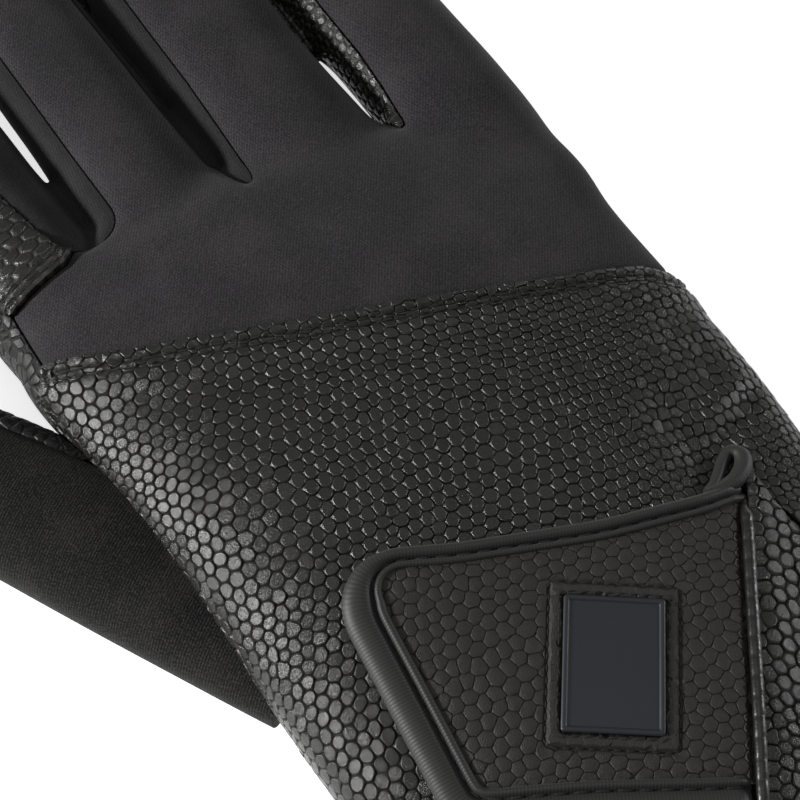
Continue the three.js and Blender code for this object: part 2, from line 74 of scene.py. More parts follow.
# slim and low are for a finger's left and right side. slim is what is taken off it: most, and the shares where that
# starts, is full, fades and ends. low is its lower half: its fullness, what is added to it, and where that starts and is full
fingers = {
    "index": {"width": 22.4, "length": 70, "gap": 1.0, "lean": 1.7, "seamLeft": 1.2, "seamRight": 1.6, "spread": 1.8,
              "slim": ((0.0, -0.3, -0.1, 2, 3), (-0.75, -0.3, -0.1, 0.03, 0.32)), "low": ((2.6, 0, 0, 1), (2.6, 0, 0, 1))},
    "middle": {"width": 22.5, "length": 79, "gap": 0.7, "lean": 0.9, "seamLeft": 0.9, "seamRight": 0.32,
               "slim": ((-0.75, -0.3, -0.1, 0.03, 0.32), (0.0, -0.3, -0.1, 2, 3)), "low": ((2.6, 0, 0, 1), (4.0, 1.0, -0.1, 0.0))},
    "ring": {"width": 26.4, "length": 74, "gap": 0.8, "lean": 0.9, "seamLeft": 0.85, "seamRight": 0.28,
             "slim": ((0.0, -0.3, -0.1, 2, 3), (0.34, 0.02, 0.09, 0.28, 0.38)), "low": ((4.0, 1.0, -0.1, 0.0), (2.6, 1.0, 0.3, 0.42))},
    "little": {"width": 22.6, "length": 62, "gap": 0.0, "lean": 1.4, "seamLeft": 0.75, "seamRight": 1.0,
               "slim": ((0.34, 0.02, 0.09, 0.32, 0.44), (0.0, -0.3, -0.1, 2, 3)), "low": ((2.6, 1.0, 0.34, 0.48), (2.6, 0, 0, 1))},
}
handLength = glove["handLength"]
knuckleWidth = sum(f["width"] + f["gap"] for f in fingers.values())
# along, left, right, height, lift
handTable = np.array([
    (0, -0.425, 0.425, 0.82, 0), (0.16, -0.44, 0.448, 0.88, 0), (0.33, -0.453, 0.472, 0.93, 0),
    (0.47, -0.457, 0.483, 0.98, 0), (0.63, -0.466, 0.474, 1, 0), (0.76, -0.479, 0.475, 0.95, 0),
    (0.88, -0.497, 0.493, 0.85, 0), (0.95, -0.475, 0.482, 0.73, 0.02), (0.985, -0.44, 0.44, 0.57, 0.06),
    (1.01, -0.4, 0.4, 0.36, 0.14),
])
# x, y, reachX, reachY, depth
dents = [
    (0.335, 0.385, 0.085, 0.06, 0.085), (0.4, 0.47, 0.06, 0.075, 0.05), (0.36, 0.62, 0.1, 0.09, -0.035),
    (-0.3, 0.5, 0.14, 0.2, -0.035), (0.02, 0.86, 0.09, 0.07, 0.03), (0.3, 0.43, 0.05, 0.07, 0.05),
]
# along, width, height
fingerTable = np.array([
    (-0.3, 0.84, 0.9), (0, 1, 1), (0.22, 1, 0.985), (0.45, 0.985, 0.96), (0.66, 0.945, 0.92),
    (0.82, 0.85, 0.85), (0.91, 0.72, 0.74), (0.97, 0.48, 0.56), (1, 0.2, 0.36),
])
# along, width, height, bend
thumbTable = np.array([
    (0, 0.91, 0.9, -0.06), (0.16, 0.92, 0.98, -0.05), (0.31, 0.82, 1, 0.01), (0.47, 0.755, 0.98, 0.045),
    (0.62, 0.69, 0.95, 0.075), (0.76, 0.665, 0.93, 0.07), (0.87, 0.61, 0.86, 0.05),
    (0.945, 0.48, 0.72, 0.03), (0.985, 0.29, 0.54, 0.02), (1, 0.12, 0.36, 0.015),
])
root = "root"


def column(table, index, along):
    along = np.asarray(along, float)
    keys, values = table[:, 0], table[:, index]
    last = len(keys) - 1
    i = np.clip(np.searchsorted(keys, along) - 1, 0, last - 1)
    order = np.arange(last + 1)
    before, after = np.maximum(order - 1, 0), np.minimum(order + 1, last)
    slopes = (values[after] - values[before]) / (keys[after] - keys[before])
    step = keys[i + 1] - keys[i]
    t = np.clip((along - keys[i]) / step, 0, 1)
    return (values[i] * (2 * t**3 - 3 * t**2 + 1) + slopes[i] * step * (t**3 - 2 * t**2 + t)
            + values[i + 1] * (3 * t**2 - 2 * t**3) + slopes[i + 1] * step * (t**3 - t**2))


def smoothStep(value, low, high):
    t = np.clip((value - low) / (high - low), 0, 1)
    return t * t * (3 - 2 * t)


def bulge(turn, power):
    return np.sign(turn) * np.abs(turn) ** (2 / power)


def webShift(x, along):
    across = np.maximum(0, x / knuckleWidth + 0.05) / 0.3
    return -glove["webDrop"] * np.minimum(across, 1.6) * smoothStep(along, 0.55, 0.95)


def dentDepth(x, y):
    total = 0
    for dx, dy, reachX, reachY, depth in dents:
        across, up = (x / knuckleWidth - dx) / reachX, (y / handLength - dy) / reachY
        total = total + depth * glove["handHeight"] * np.exp(-(across**2) - up**2)
    return total


def handSection(along):
    left, right = column(handTable, 1, along) * knuckleWidth, column(handTable, 2, along) * knuckleWidth
    return ((left + right) / 2, (right - left) / 2,
            column(handTable, 3, along) * glove["handHeight"], column(handTable, 4, along) * glove["handHeight"])


def handPoints(along, turn, grow=0.0):
    middle, halfWidth, height, lift = handSection(along)
    across, up = bulge(np.cos(turn), glove["handPower"]), bulge(np.sin(turn), glove["handPower"])
    x = middle + across * (halfWidth + grow)
    y = along * handLength + webShift(x, along)
    lean = np.where(up > 0, 1 - glove["topTilt"] * across, 1)
    press = np.where(up > 0, dentDepth(x, y) * up, 0)
    half = (height + glove["restFlat"]) / 2
    z = lift - glove["restFlat"] + half + up * (half * lean + grow) - press
    return np.stack([x, y, np.maximum(z, 0)], -1)


edge = -knuckleWidth / 2
for finger in fingers.values():
    finger["x"] = edge + finger["width"] / 2
    finger["web"] = float(handLength + webShift(finger["x"], 1))
    edge += finger["width"] + finger["gap"]


def fingerFrame(finger, along):
    lean, reach = math.radians(finger["lean"]), along * finger["length"]
    return (finger["x"] - math.sin(lean) * reach, finger["web"] + math.cos(lean) * reach,
            column(fingerTable, 1, along) * finger["width"] / 2, column(fingerTable, 2, along) * glove["fingerHeight"])


def digitPoints(x, y, halfWidth, height, turn, angle, grow=0.0, under=((2.6, 0), (2.6, 0))):
    across = bulge(np.cos(turn), glove["digitPower"]) * np.maximum(halfWidth + grow, 0.4)
    half = (height + glove["restFlat"]) / 2
    up = bulge(np.sin(turn), glove["digitPower"]) * np.maximum(half, 0.4)
    for side, (power, more) in zip((-1, 1), under):
        fuller = bulge(np.cos(turn), power) * (np.maximum(halfWidth + grow, 0.4) + more * np.abs(np.sin(2 * turn)))
        across = np.where((np.sin(turn) < 0) & (np.cos(turn) * side > 0), fuller, across)
    return np.stack([x + across * math.cos(angle), y + across * math.sin(angle),
                     np.maximum(half - glove["restFlat"] + up, 0)], -1)


def seamPoint(finger, along, side):
    x, y, halfWidth, _ = fingerFrame(finger, along)
    inset = glove["seamInset"] * (finger["seamLeft"] if side < 0 else finger["seamRight"] * (1 + finger.get("spread", 0) * min(along, 0.3)))
    lean, out = math.radians(finger["lean"]), side * (halfWidth - inset)
    return [float(x + out * math.cos(lean)), float(y + out * math.sin(lean))]


# Meshes as plain arrays, in millimetres on the hand's own axes

def ringFaces(rows, columns, closed=True):
    r, c = np.meshgrid(np.arange(rows - 1), np.arange(columns if closed else columns - 1), indexing="ij")
    a, b = r * columns + c, r * columns + (c + 1) % columns
    return np.stack([a, b, b + columns, a + columns], -1).reshape(-1, 4)


def tube(rings):
    rows, columns = rings.shape[:2]
    points = np.vstack([rings.reshape(-1, 3), rings[0].mean(0), rings[-1].mean(0)])
    faces = ringFaces(rows, columns).tolist()
    k, top = np.arange(columns), (rows - 1) * columns
    faces += np.stack([np.full(columns, rows * columns), (k + 1) % columns, k], -1).tolist()
    faces += np.stack([np.full(columns, rows * columns + 1), top + k, top + (k + 1) % columns], -1).tolist()
    return points, faces


def meshFrom(name, points, faces, scale=0.001):
    mesh = bpy.data.meshes.new(name)
    sizes = np.array([len(f) for f in faces])
    flat = np.concatenate([np.asarray(f, np.int32) for f in faces]) if len(faces) else np.zeros(0, np.int32)
    placed = np.asarray(points, float) + (glove["originX"], glove["originY"], 0)
    mesh.vertices.add(len(placed))
    mesh.vertices.foreach_set("co", (placed * scale).astype(np.float32).ravel())
    mesh.loops.add(len(flat))
    mesh.loops.foreach_set("vertex_index", flat.astype(np.int32))
    mesh.polygons.add(len(sizes))
    mesh.polygons.foreach_set("loop_start", np.concatenate([[0], np.cumsum(sizes)[:-1]]).astype(np.int32))
    mesh.update(calc_edges=True)
    mesh.validate()
    return mesh


def addPiece(name, points, faces, material, replaces=(), attributes=None, sharp=50):
    mesh = meshFrom(name, points, faces)
    for key, values in (attributes or {}).items():
        mesh.attributes.new(key, "FLOAT", "POINT").data.foreach_set("value", np.asarray(values, np.float32))
    mesh.shade_smooth()
    mesh.set_sharp_from_angle(angle=math.radians(sharp))
    piece = bpy.data.objects.new(name, mesh)
    bpy.context.scene.collection.objects.link(piece)
    mesh.materials.append(material)
    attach(piece, root)
    if replaces:
        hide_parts(*replaces)
    triangles = sum(len(p.vertices) - 2 for p in mesh.polygons)
    print(f"{name}: {triangles} triangles")
    return piece


def evaluated(obj, name):
    mesh = bpy.data.meshes.new_from_object(obj.evaluated_get(bpy.context.evaluated_depsgraph_get()))
    mesh.name = name
    return mesh


def remeshed(parts, voxel):
    points, faces, start = [], [], 0
    for partPoints, partFaces in parts:
        points.append(partPoints)
        faces += [[i + start for i in f] for f in partFaces]
        start += len(partPoints)
    holder = bpy.data.objects.new("remesh", meshFrom("remesh", np.vstack(points), faces))
    bpy.context.scene.collection.objects.link(holder)
    modifier = holder.modifiers.new("remesh", "REMESH")
    modifier.mode, modifier.voxel_size, modifier.adaptivity = "VOXEL", voxel * 0.001, 0
    mesh = evaluated(holder, "remeshed")
    co = np.zeros(len(mesh.vertices) * 3)
    mesh.vertices.foreach_get("co", co)
    quads = np.zeros(len(mesh.loops), np.int32)
    mesh.loops.foreach_get("vertex_index", quads)
    bpy.data.objects.remove(holder)
    made = co.reshape(-1, 3) * 1000 - (glove["originX"], glove["originY"], 0)
    bpy.data.meshes.remove(mesh)
    return made, quads.reshape(-1, 4)


def uniqueEdges(faces):
    pairs = np.vstack([faces[:, [k, (k + 1) % faces.shape[1]]] for k in range(faces.shape[1])])
    pairs.sort(1)
    return np.unique(pairs, axis=0)


def smoothed(points, faces, passes, weight=0.5):
    edges, count = uniqueEdges(faces), len(points)
    degree = np.bincount(edges.ravel(), minlength=count).astype(float)
    degree[degree == 0] = 1
    weight = np.broadcast_to(np.asarray(weight, float), (count,))[:, None]
    for _ in range(passes):
        total = np.stack([np.bincount(edges[:, 0], points[edges[:, 1], k], count)
                          + np.bincount(edges[:, 1], points[edges[:, 0], k], count) for k in range(3)], -1)
        points = points + weight * (total / degree[:, None] - points)
    return points


def pointNormals(points, tris):
    a, b, c = (points[tris[:, k]] for k in range(3))
    face = np.cross(b - a, c - a)
    normals = np.stack([sum(np.bincount(tris[:, j], face[:, k], len(points)) for j in range(3))
                        for k in range(3)], -1)
    return normals / np.maximum(np.linalg.norm(normals, axis=1), 1e-12)[:, None]


def halved(quads):
    return np.vstack([quads[:, [0, 1, 2]], quads[:, [0, 2, 3]]])


def compact(points, faces, *more):
    used, faces = np.unique(faces, return_inverse=True)
    return (points[used], faces.reshape(-1, 3), *[m[used] for m in more])


def divided(points, tris, normals):
    edges = uniqueEdges(tris)
    key = edges[:, 0].astype(np.int64) * len(points) + edges[:, 1]
    middle = []
    for j in range(3):
        pair = np.sort(tris[:, [j, (j + 1) % 3]], 1)
        middle.append(len(points) + np.searchsorted(key, pair[:, 0].astype(np.int64) * len(points) + pair[:, 1]))
    ab, bc, ca = middle
    a, b, c = tris.T
    tris = np.vstack([np.stack(t, -1) for t in ((a, ab, ca), (ab, b, bc), (ca, bc, c), (ab, bc, ca))])
    points = np.vstack([points, points[edges].mean(1)])
    normals = np.vstack([normals, normals[edges].mean(1)])
    return points, tris, normals / np.linalg.norm(normals, axis=1)[:, None]


# Cuts an open mesh along the line where the field is 0: the nearer end of each crossing edge moves onto it.
def trimmed(points, tris, normals, field):
    points = points.copy()
    value = field(points)
    near = (value[tris] > -3).any(1)
    points, tris, normals, value = compact(points, tris[near], normals, value)
    a, b = uniqueEdges(tris).T
    crossing = value[a] * value[b] < 0
    a, b = a[crossing], b[crossing]
    t = value[a] / (value[a] - value[b])
    at = points[a] + t[:, None] * (points[b] - points[a])
    nearer = np.where(t < 0.5, a, b)
    order = np.argsort(-np.minimum(t, 1 - t))
    points[nearer[order]] = at[order]
    value[nearer] = 0
    inside = (value[tris] >= 0).all(1) & (value[tris] > 0).any(1)
    return compact(points, tris[inside], normals, value)


# A panel with its wall and rim, from an open surface and heights over it
def walled(points, tris, normals, outer, inner):
    count = len(points)
    ends = tris[:, [0, 1, 1, 2, 2, 0]].reshape(-1, 2)
    key = np.sort(ends, 1)
    _, first, times = np.unique(key, axis=0, return_index=True, return_counts=True)
    rim = ends[first[times == 1]]
    a, b = rim.T
    made = np.vstack([points + normals * outer[:, None], points + normals * inner[:, None]])
    faces = tris.tolist() + (tris[:, ::-1] + count).tolist()
    faces += np.stack([b, a, a + count, b + count], -1).tolist()
    return made, faces


def signedDistance(outline, x, y):
    outline = np.asarray(outline, float)
    best, inside = np.full(x.shape, 1e9), np.zeros(x.shape, bool)
    for (ax, ay), (bx, by) in zip(outline, np.roll(outline, -1, 0)):
        dx, dy = bx - ax, by - ay
        t = np.clip(((x - ax) * dx + (y - ay) * dy) / (dx * dx + dy * dy + 1e-12), 0, 1)
        best = np.minimum(best, np.hypot(x - ax - t * dx, y - ay - t * dy))
        crosses = (ay > y) != (by > y)
        inside ^= crosses & (x < (bx - ax) * (y - ay) / (by - ay if by != ay else 1e-12) + ax)
    return np.where(inside, best, -best)


def distanceTo(line, uv):
    best = np.full(len(uv), 1e9)
    for a, b in zip(line[:-1], line[1:]):
        d = b - a
        t = np.clip(((uv - a) @ d) / (d @ d + 1e-12), 0, 1)
        best = np.minimum(best, np.linalg.norm(uv - a - t[:, None] * d, axis=1))
    return best


def rounded(outline, corners, radius, steps=14):
    made = []
    for i, p in enumerate(outline):
        if i not in corners:
            made.append(list(p))
            continue
        at, before, after = (np.array(outline[k], float) for k in (i, i - 1, (i + 1) % len(outline)))
        back, on = before - at, after - at
        back, on = back / np.linalg.norm(back), on / np.linalg.norm(on)
        half = math.acos(float(back @ on)) / 2
        start, end = at + back * radius / math.tan(half), at + on * radius / math.tan(half)
        middle = back + on
        centre = at + middle / np.linalg.norm(middle) * radius / math.sin(half)
        low, high = (math.atan2(*(q - centre)[::-1]) for q in (start, end))
        sweep = (high - low + math.pi) % (2 * math.pi) - math.pi
        made += [[centre[0] + radius * math.cos(low + sweep * k / steps),
                  centre[1] + radius * math.sin(low + sweep * k / steps)] for k in range(steps + 1)]
    return np.array(made)


def grown(outline, distance):
    outline = np.asarray(outline, float)
    before, after = np.roll(outline, 1, 0), np.roll(outline, -1, 0)
    a, b = outline - before, after - outline
    a, b = a / np.linalg.norm(a, axis=1)[:, None], b / np.linalg.norm(b, axis=1)[:, None]
    area = np.sum(outline[:, 0] * after[:, 1] - after[:, 0] * outline[:, 1])
    miter = np.stack([a[:, 1] + b[:, 1], -a[:, 0] - b[:, 0]], -1) / np.maximum(1 + (a * b).sum(1), 0.35)[:, None]
    return outline + miter * np.sign(area) * distance


def densified(line, step):
    line = np.asarray(line, float)
    made = []
    for a, b in zip(line[:-1], line[1:]):
        count = max(1, int(np.linalg.norm(b - a) / step))
        made += [a + (b - a) * k / count for k in range(count)]
    return np.array(made + [line[-1]])


def evenly(line, step, passes=0):
    for _ in range(passes):
        line = np.vstack([line[:1], (line[:-2] + 2 * line[1:-1] + line[2:]) / 4, line[-1:]])
    length = np.concatenate([[0], np.cumsum(np.linalg.norm(np.diff(line, axis=0), axis=1))])
    even = np.linspace(0, length[-1], int(length[-1] / step) + 1)
    return np.stack([np.interp(even, length, line[:, k]) for k in range(line.shape[1])], -1)


def besideLine(line):      # unit steps to the left of a line in plan
    direction = np.gradient(line, axis=0)
    direction /= np.linalg.norm(direction, axis=1)[:, None]
    return np.stack([-direction[:, 1], direction[:, 0]], -1)


# The soft folds that the leather and the fabric over the back share
folds = {"height": 0.3, "knuckleHeight": 0.3}


def foldHeight(x, y):
    slow = (np.sin(x / 11.3 + 0.9 + 0.6 * np.sin(y / 19)) * np.sin(y / 14.7 + 0.4 + 0.5 * np.sin(x / 17))
            + 0.6 * np.sin((x + 0.7 * y) / 8.9 + 1.7) * np.sin((x * 0.5 - y) / 12.1 + 0.3))
    knuckle = np.exp(-(((y - 128 + 0.09 * x) / 13) ** 2)) * np.sin(x / 7.1 + 0.5 + 0.3 * np.sin(y / 9))
    along = (x - 32) * 0.93 + (y - 58.8) * 0.36
    across = (y - 58.8) * 0.93 - (x - 32) * 0.36
    crease = smoothStep(along, -3, 3) * smoothStep(-along, -15, -8) * (0.55 * np.exp(-(((across - 3.2) / 2.2) ** 2))
                                                                      - 0.75 * np.exp(-((across / 1.8) ** 2)))
    return (folds["height"] * slow + folds["knuckleHeight"] * knuckle) * smoothStep(-np.abs(x), -46, -34) + crease


# The back of the hand, unrolled: u runs round it from the crown, v along it
def makeBackGrid(step=0.5, reach=76, low=-6, high=148):
    turns = np.radians(np.linspace(212, -32, 1800))
    rows = np.arange(low, high + step, step)
    columns = np.arange(-reach, reach + step, step)
    grid = np.zeros((len(rows), len(columns), 3))
    for i, v in enumerate(rows):
        p = handPoints(np.full(turns.shape, v / handLength), turns)
        length = np.concatenate([[0], np.cumsum(np.linalg.norm(np.diff(p[:, [0, 2]], axis=0), axis=1))])
        length -= np.interp(-np.radians(90), -turns, length)
        for k in range(3):
            grid[i, :, k] = np.interp(columns, length, p[:, k])
    du, dv = np.gradient(grid, axis=1), np.gradient(grid, axis=0)
    normals = np.cross(du, dv)
    normals /= np.maximum(np.linalg.norm(normals, axis=2), 1e-9)[..., None]
    lift = foldHeight(grid[..., 0], grid[..., 1]) * smoothStep(grid[..., 2], 5, 12)
    grid = grid + normals * lift[..., None]
    du, dv = np.gradient(grid, axis=1), np.gradient(grid, axis=0)
    normals = np.cross(du, dv)
    normals /= np.maximum(np.linalg.norm(normals, axis=2), 1e-9)[..., None]
    return {"grid": grid, "normals": normals, "low": (-reach, low), "step": step}


backGrid = makeBackGrid()


def onBack(u, v, height=0.0):
    grid, normals = backGrid["grid"], backGrid["normals"]
    x = np.clip((np.asarray(u, float) - backGrid["low"][0]) / backGrid["step"], 0, grid.shape[1] - 1.001)
    y = np.clip((np.asarray(v, float) - backGrid["low"][1]) / backGrid["step"], 0, grid.shape[0] - 1.001)
    i, j = y.astype(int), x.astype(int)
    s, t = (y - i)[..., None], (x - j)[..., None]

    def sample(values):
        return ((values[i, j] * (1 - t) + values[i, j + 1] * t) * (1 - s)
                + (values[i + 1, j] * (1 - t) + values[i + 1, j + 1] * t) * s)
    normal = sample(normals)
    normal /= np.maximum(np.linalg.norm(normal, axis=-1), 1e-9)[..., None]
    return sample(grid) + normal * np.asarray(height, float)[..., None]


def toBack(plan):
    plan = np.asarray(plan, float)
    u, v = plan[:, 0].copy(), plan[:, 1].copy()
    for _ in range(24):
        at = onBack(u, v)
        slope = onBack(u + 0.5, v)[:, 0] - onBack(u - 0.5, v)[:, 0]
        u += np.clip((plan[:, 0] - at[:, 0]) / np.maximum(slope, 0.3), -2, 2)
        v += plan[:, 1] - at[:, 1]
    return np.stack([u, v], -1)


# Where the side seam runs, as u for each v, on one side of the hand
def sideLine(v, side, height):
    columns = np.arange(0, 74, 0.25) * side
    made = []
    for row in v:
        z = onBack(columns, np.full(columns.shape, row))[:, 2]
        k = np.argmax(z < height)
        made.append(columns[k - 1] + (columns[k] - columns[k - 1]) * (z[k - 1] - height) / (z[k - 1] - z[k]))
    return np.array(made)



print("surfaces ready")


# Materials. Each takes its numbers from here.
# In the leather finishes, groove is a painted shade colour for the grooves between the scales.
finishes = {
    # rim is a painted highlight colour along the edges of the scales, mixed in at the strength given after it
    "glossLeather": {"colour": (0.0085, 0.0082, 0.0076), "light": (0.0150, 0.0142, 0.0129), "roughness": 0.23, "specular": 0.52,
                     "grain": 0.0002, "grainDepth": 0.0001, "groove": (0.0022, 0.0021, 0.0019), "rim": (0.05, 0.047, 0.043), "rimHighlight": 0.6},
    "weltLeather": {"colour": (0.0085, 0.0082, 0.0076), "light": (0.0125, 0.0118, 0.0108), "roughness": 0.3, "specular": 0.5,
                    "grain": 0.0004, "grainDepth": 0.00005, "groove": (0.0025, 0.0024, 0.0022), "rim": (0.03, 0.028, 0.026), "rimHighlight": 0.0},
    "palmLeather": {"colour": (0.006, 0.0058, 0.0054), "light": (0.0125, 0.0118, 0.0108), "roughness": 0.45, "specular": 0.4,
                    "grain": 0.00024, "grainDepth": 0.00006, "groove": (0.002, 0.0019, 0.0018), "rim": (0.03, 0.028, 0.026), "rimHighlight": 0.3},
    "mattLeather": {"colour": (0.0188, 0.0177, 0.0156), "light": (0.0278, 0.0255, 0.0224), "roughness": 0.5, "specular": 0.32,
                    "grain": 0.0002, "grainDepth": 0.00012, "groove": (0.0085, 0.008, 0.0071), "rim": (0.036, 0.0335, 0.03), "rimHighlight": 0.35},
    "softshell": {"colour": (0.0104, 0.0096, 0.0109), "light": (0.0425, 0.0390, 0.0413), "roughness": 0.85,
                  "thread": 0.00046, "depth": 0.00003, "sheen": 0.06, "turns": (0.62, -0.3), "weave": (0.15, 0.08), "fuzz": 0.95, "contrast": (0.4, 0.85)},
    # the gusset cloth's darker colours are painted shade for the valleys between the fingers; its weave runs its own
    # way
    "shadedGussetCloth": {"colour": (0.0085, 0.0082, 0.0085), "light": (0.028, 0.0262, 0.027), "roughness": 0.85,
                    "thread": 0.00045, "depth": 0.00003, "sheen": 0.04, "turns": (0.2, 1.4), "weave": (0.15, 0.1), "fuzz": 0.9, "contrast": (0.35, 0.9)},
    "thumbKnit": {"colour": (0.0006, 0.0006, 0.0006), "light": (0.03, 0.0282, 0.026), "roughness": 0.85,
                  "thread": 0.00046, "depth": 0.0001, "sheen": 0.03, "turns": (1.05, 2.5), "weave": (0.2, 0.05), "fuzz": 1.0,
                  "contrast": (0.52, 0.86)},
    "tape": {"colour": (0.0095, 0.0092, 0.0088), "light": (0.023, 0.022, 0.021), "roughness": 0.55,
             "rib": 0.0005, "depth": 0.000016, "sheen": 0.06},
    "rubber": {"colour": (0.0085, 0.0102, 0.0145), "light": (0.012, 0.0138, 0.0185), "roughness": 0.48},
    "thread": {"colour": (0.002, 0.002, 0.002), "light": (0.007, 0.007, 0.007), "roughness": 0.8},
}


def newMaterial(name):
    material = bpy.data.materials.new(name)
    material.use_nodes = True
    nodes = material.node_tree.nodes
    return material, nodes, material.node_tree.links, nodes["Principled BSDF"]


def addNode(nodes, kind, settings=None, **inputs):
    made = nodes.new(kind)
    for key, value in (settings or {}).items():
        setattr(made, key, value)
    for key, value in inputs.items():
        made.inputs[key.replace("_", " ")].default_value = value
    return made


def mixColour(nodes, links, factor, first, second):
    mix = addNode(nodes, "ShaderNodeMix", {"data_type": "RGBA"})
    links.new(factor, mix.inputs[0])
    for socket, value in ((mix.inputs[6], first), (mix.inputs[7], second)):
        if isinstance(value, bpy.types.NodeSocket):
            links.new(value, socket)
        else:
            socket.default_value = (*value, 1)
    return mix.outputs[2]


def ramp(nodes, links, source, low, high, first=0.0, second=1.0):
    made = addNode(nodes, "ShaderNodeMapRange", {"interpolation_type": "SMOOTHSTEP"})
    links.new(source, made.inputs[0])
    for k, value in enumerate((low, high, first, second)):
        made.inputs[k + 1].default_value = value
    return made.outputs[0]


def arithmetic(nodes, links, operation, first, second):
    made = addNode(nodes, "ShaderNodeMath", {"operation": operation})
    for socket, value in zip(made.inputs, (first, second)):
        if isinstance(value, bpy.types.NodeSocket):
            links.new(value, socket)
        else:
            socket.default_value = value
    return made.outputs[0]


def addBump(nodes, links, shader, height, distance, strength=1.0, under=None):
    bump = addNode(nodes, "ShaderNodeBump", Strength=strength, Distance=distance)
    links.new(height, bump.inputs["Height"])
    if under is not None:
        links.new(under, bump.inputs["Normal"])
    links.new(bump.outputs[0], shader.inputs["Normal"])
    return bump.outputs[0]


def noiseNode(nodes, links, coordinates, size, detail=2.0, roughness=0.5):
    made = addNode(nodes, "ShaderNodeTexNoise", Scale=1 / size, Detail=detail, Roughness=roughness)
    links.new(coordinates, made.inputs["Vector"])
    return made.outputs["Fac"]


# Embossed leather: grooves come from the mesh, or from a cell texture where pitch is given
def leatherMaterial(name, finish, pitch=None):
    f = finishes[finish]
    material, nodes, links, shader = newMaterial(name)
    place = addNode(nodes, "ShaderNodeTexCoord").outputs["Object"]
    grain = noiseNode(nodes, links, place, f["grain"], 3)
    cloud = noiseNode(nodes, links, place, 0.018, 3)
    if pitch:
        cells = addNode(nodes, "ShaderNodeTexVoronoi", {"feature": "DISTANCE_TO_EDGE"}, Scale=1 / pitch)
        links.new(place, cells.inputs["Vector"])
        groove = ramp(nodes, links, cells.outputs["Distance"], 0.02, 0.14, 1, 0)
        tone = noiseNode(nodes, links, place, pitch)
    else:
        groove = addNode(nodes, "ShaderNodeAttribute", {"attribute_name": "groove"}).outputs["Fac"]
        tone = addNode(nodes, "ShaderNodeAttribute", {"attribute_name": "tone"}).outputs["Fac"]
    blend = arithmetic(nodes, links, "ADD", arithmetic(nodes, links, "MULTIPLY", arithmetic(nodes, links, "ADD", tone, cloud), 0.3),
                       ramp(nodes, links, grain, 0.35, 0.75, 0, 0.5))
    colour = mixColour(nodes, links, blend, f["colour"], f["light"])
    # deep mixes the colour towards the groove colour in the grooves between the scales: painted shade, and a rougher
    # finish there
    deep = ramp(nodes, links, groove, 0.35, 1)
    rimHighlight = arithmetic(nodes, links, "MULTIPLY", ramp(nodes, links, groove, 0.02, 0.2), ramp(nodes, links, groove, 0.3, 0.6, f["rimHighlight"], 0))
    colour = mixColour(nodes, links, rimHighlight, colour, f["rim"])      # paler along the edges of the scales: a painted highlight on their shoulders
    links.new(mixColour(nodes, links, deep, colour, f["groove"]), shader.inputs["Base Color"])
    rough = ramp(nodes, links, arithmetic(nodes, links, "ADD", grain, cloud), 0.6, 1.4,
                 f["roughness"] - 0.05, f["roughness"] + 0.1)
    links.new(arithmetic(nodes, links, "ADD", rough, arithmetic(nodes, links, "MULTIPLY", deep, 0.3)),
              shader.inputs["Roughness"])
    shader.inputs["Specular IOR Level"].default_value = f["specular"]
    under = None
    if pitch:
        flat = ramp(nodes, links, cells.outputs["Distance"], 0.02, 0.2)
        under = addBump(nodes, links, shader, flat, 0.00025)
    addBump(nodes, links, shader, grain, f["grainDepth"], 1, under)
    return material


# Cloth with a fine diagonal weave, speckled with lighter threads
def clothMaterial(name, finish):
    f = finishes[finish]
    material, nodes, links, shader = newMaterial(name)
    place = addNode(nodes, "ShaderNodeTexCoord").outputs["Object"]
    mottle = arithmetic(nodes, links, "MULTIPLY", noiseNode(nodes, links, place, f["thread"] * 0.62, 2, 0.7), f["fuzz"])
    for turn, share in zip(f["turns"], f["weave"]):      # straight ribs in plan, so they don't ring round a finger
        mapping = addNode(nodes, "ShaderNodeMapping")
        mapping.inputs["Rotation"].default_value = (0, 0, turn)
        links.new(place, mapping.inputs["Vector"])
        wave = addNode(nodes, "ShaderNodeTexWave", {"bands_direction": "X"}, Scale=0.314 / f["thread"], Distortion=0.0)
        links.new(mapping.outputs[0], wave.inputs["Vector"])
        mottle = arithmetic(nodes, links, "ADD", mottle, arithmetic(nodes, links, "MULTIPLY", wave.outputs["Fac"], share))
    cloud = noiseNode(nodes, links, place, 0.012, 3)
    speck = arithmetic(nodes, links, "ADD", ramp(nodes, links, mottle, *f["contrast"]),
                       ramp(nodes, links, cloud, 0.35, 0.7, -0.14, 0.16))
    links.new(mixColour(nodes, links, speck, f["colour"], f["light"]), shader.inputs["Base Color"])
    shader.inputs["Roughness"].default_value = f["roughness"]
    shader.inputs["Specular IOR Level"].default_value = 0.18
    shader.inputs["Sheen Weight"].default_value = f["sheen"]
    shader.inputs["Sheen Roughness"].default_value = 0.5
    addBump(nodes, links, shader, mottle, f["depth"])
    return material


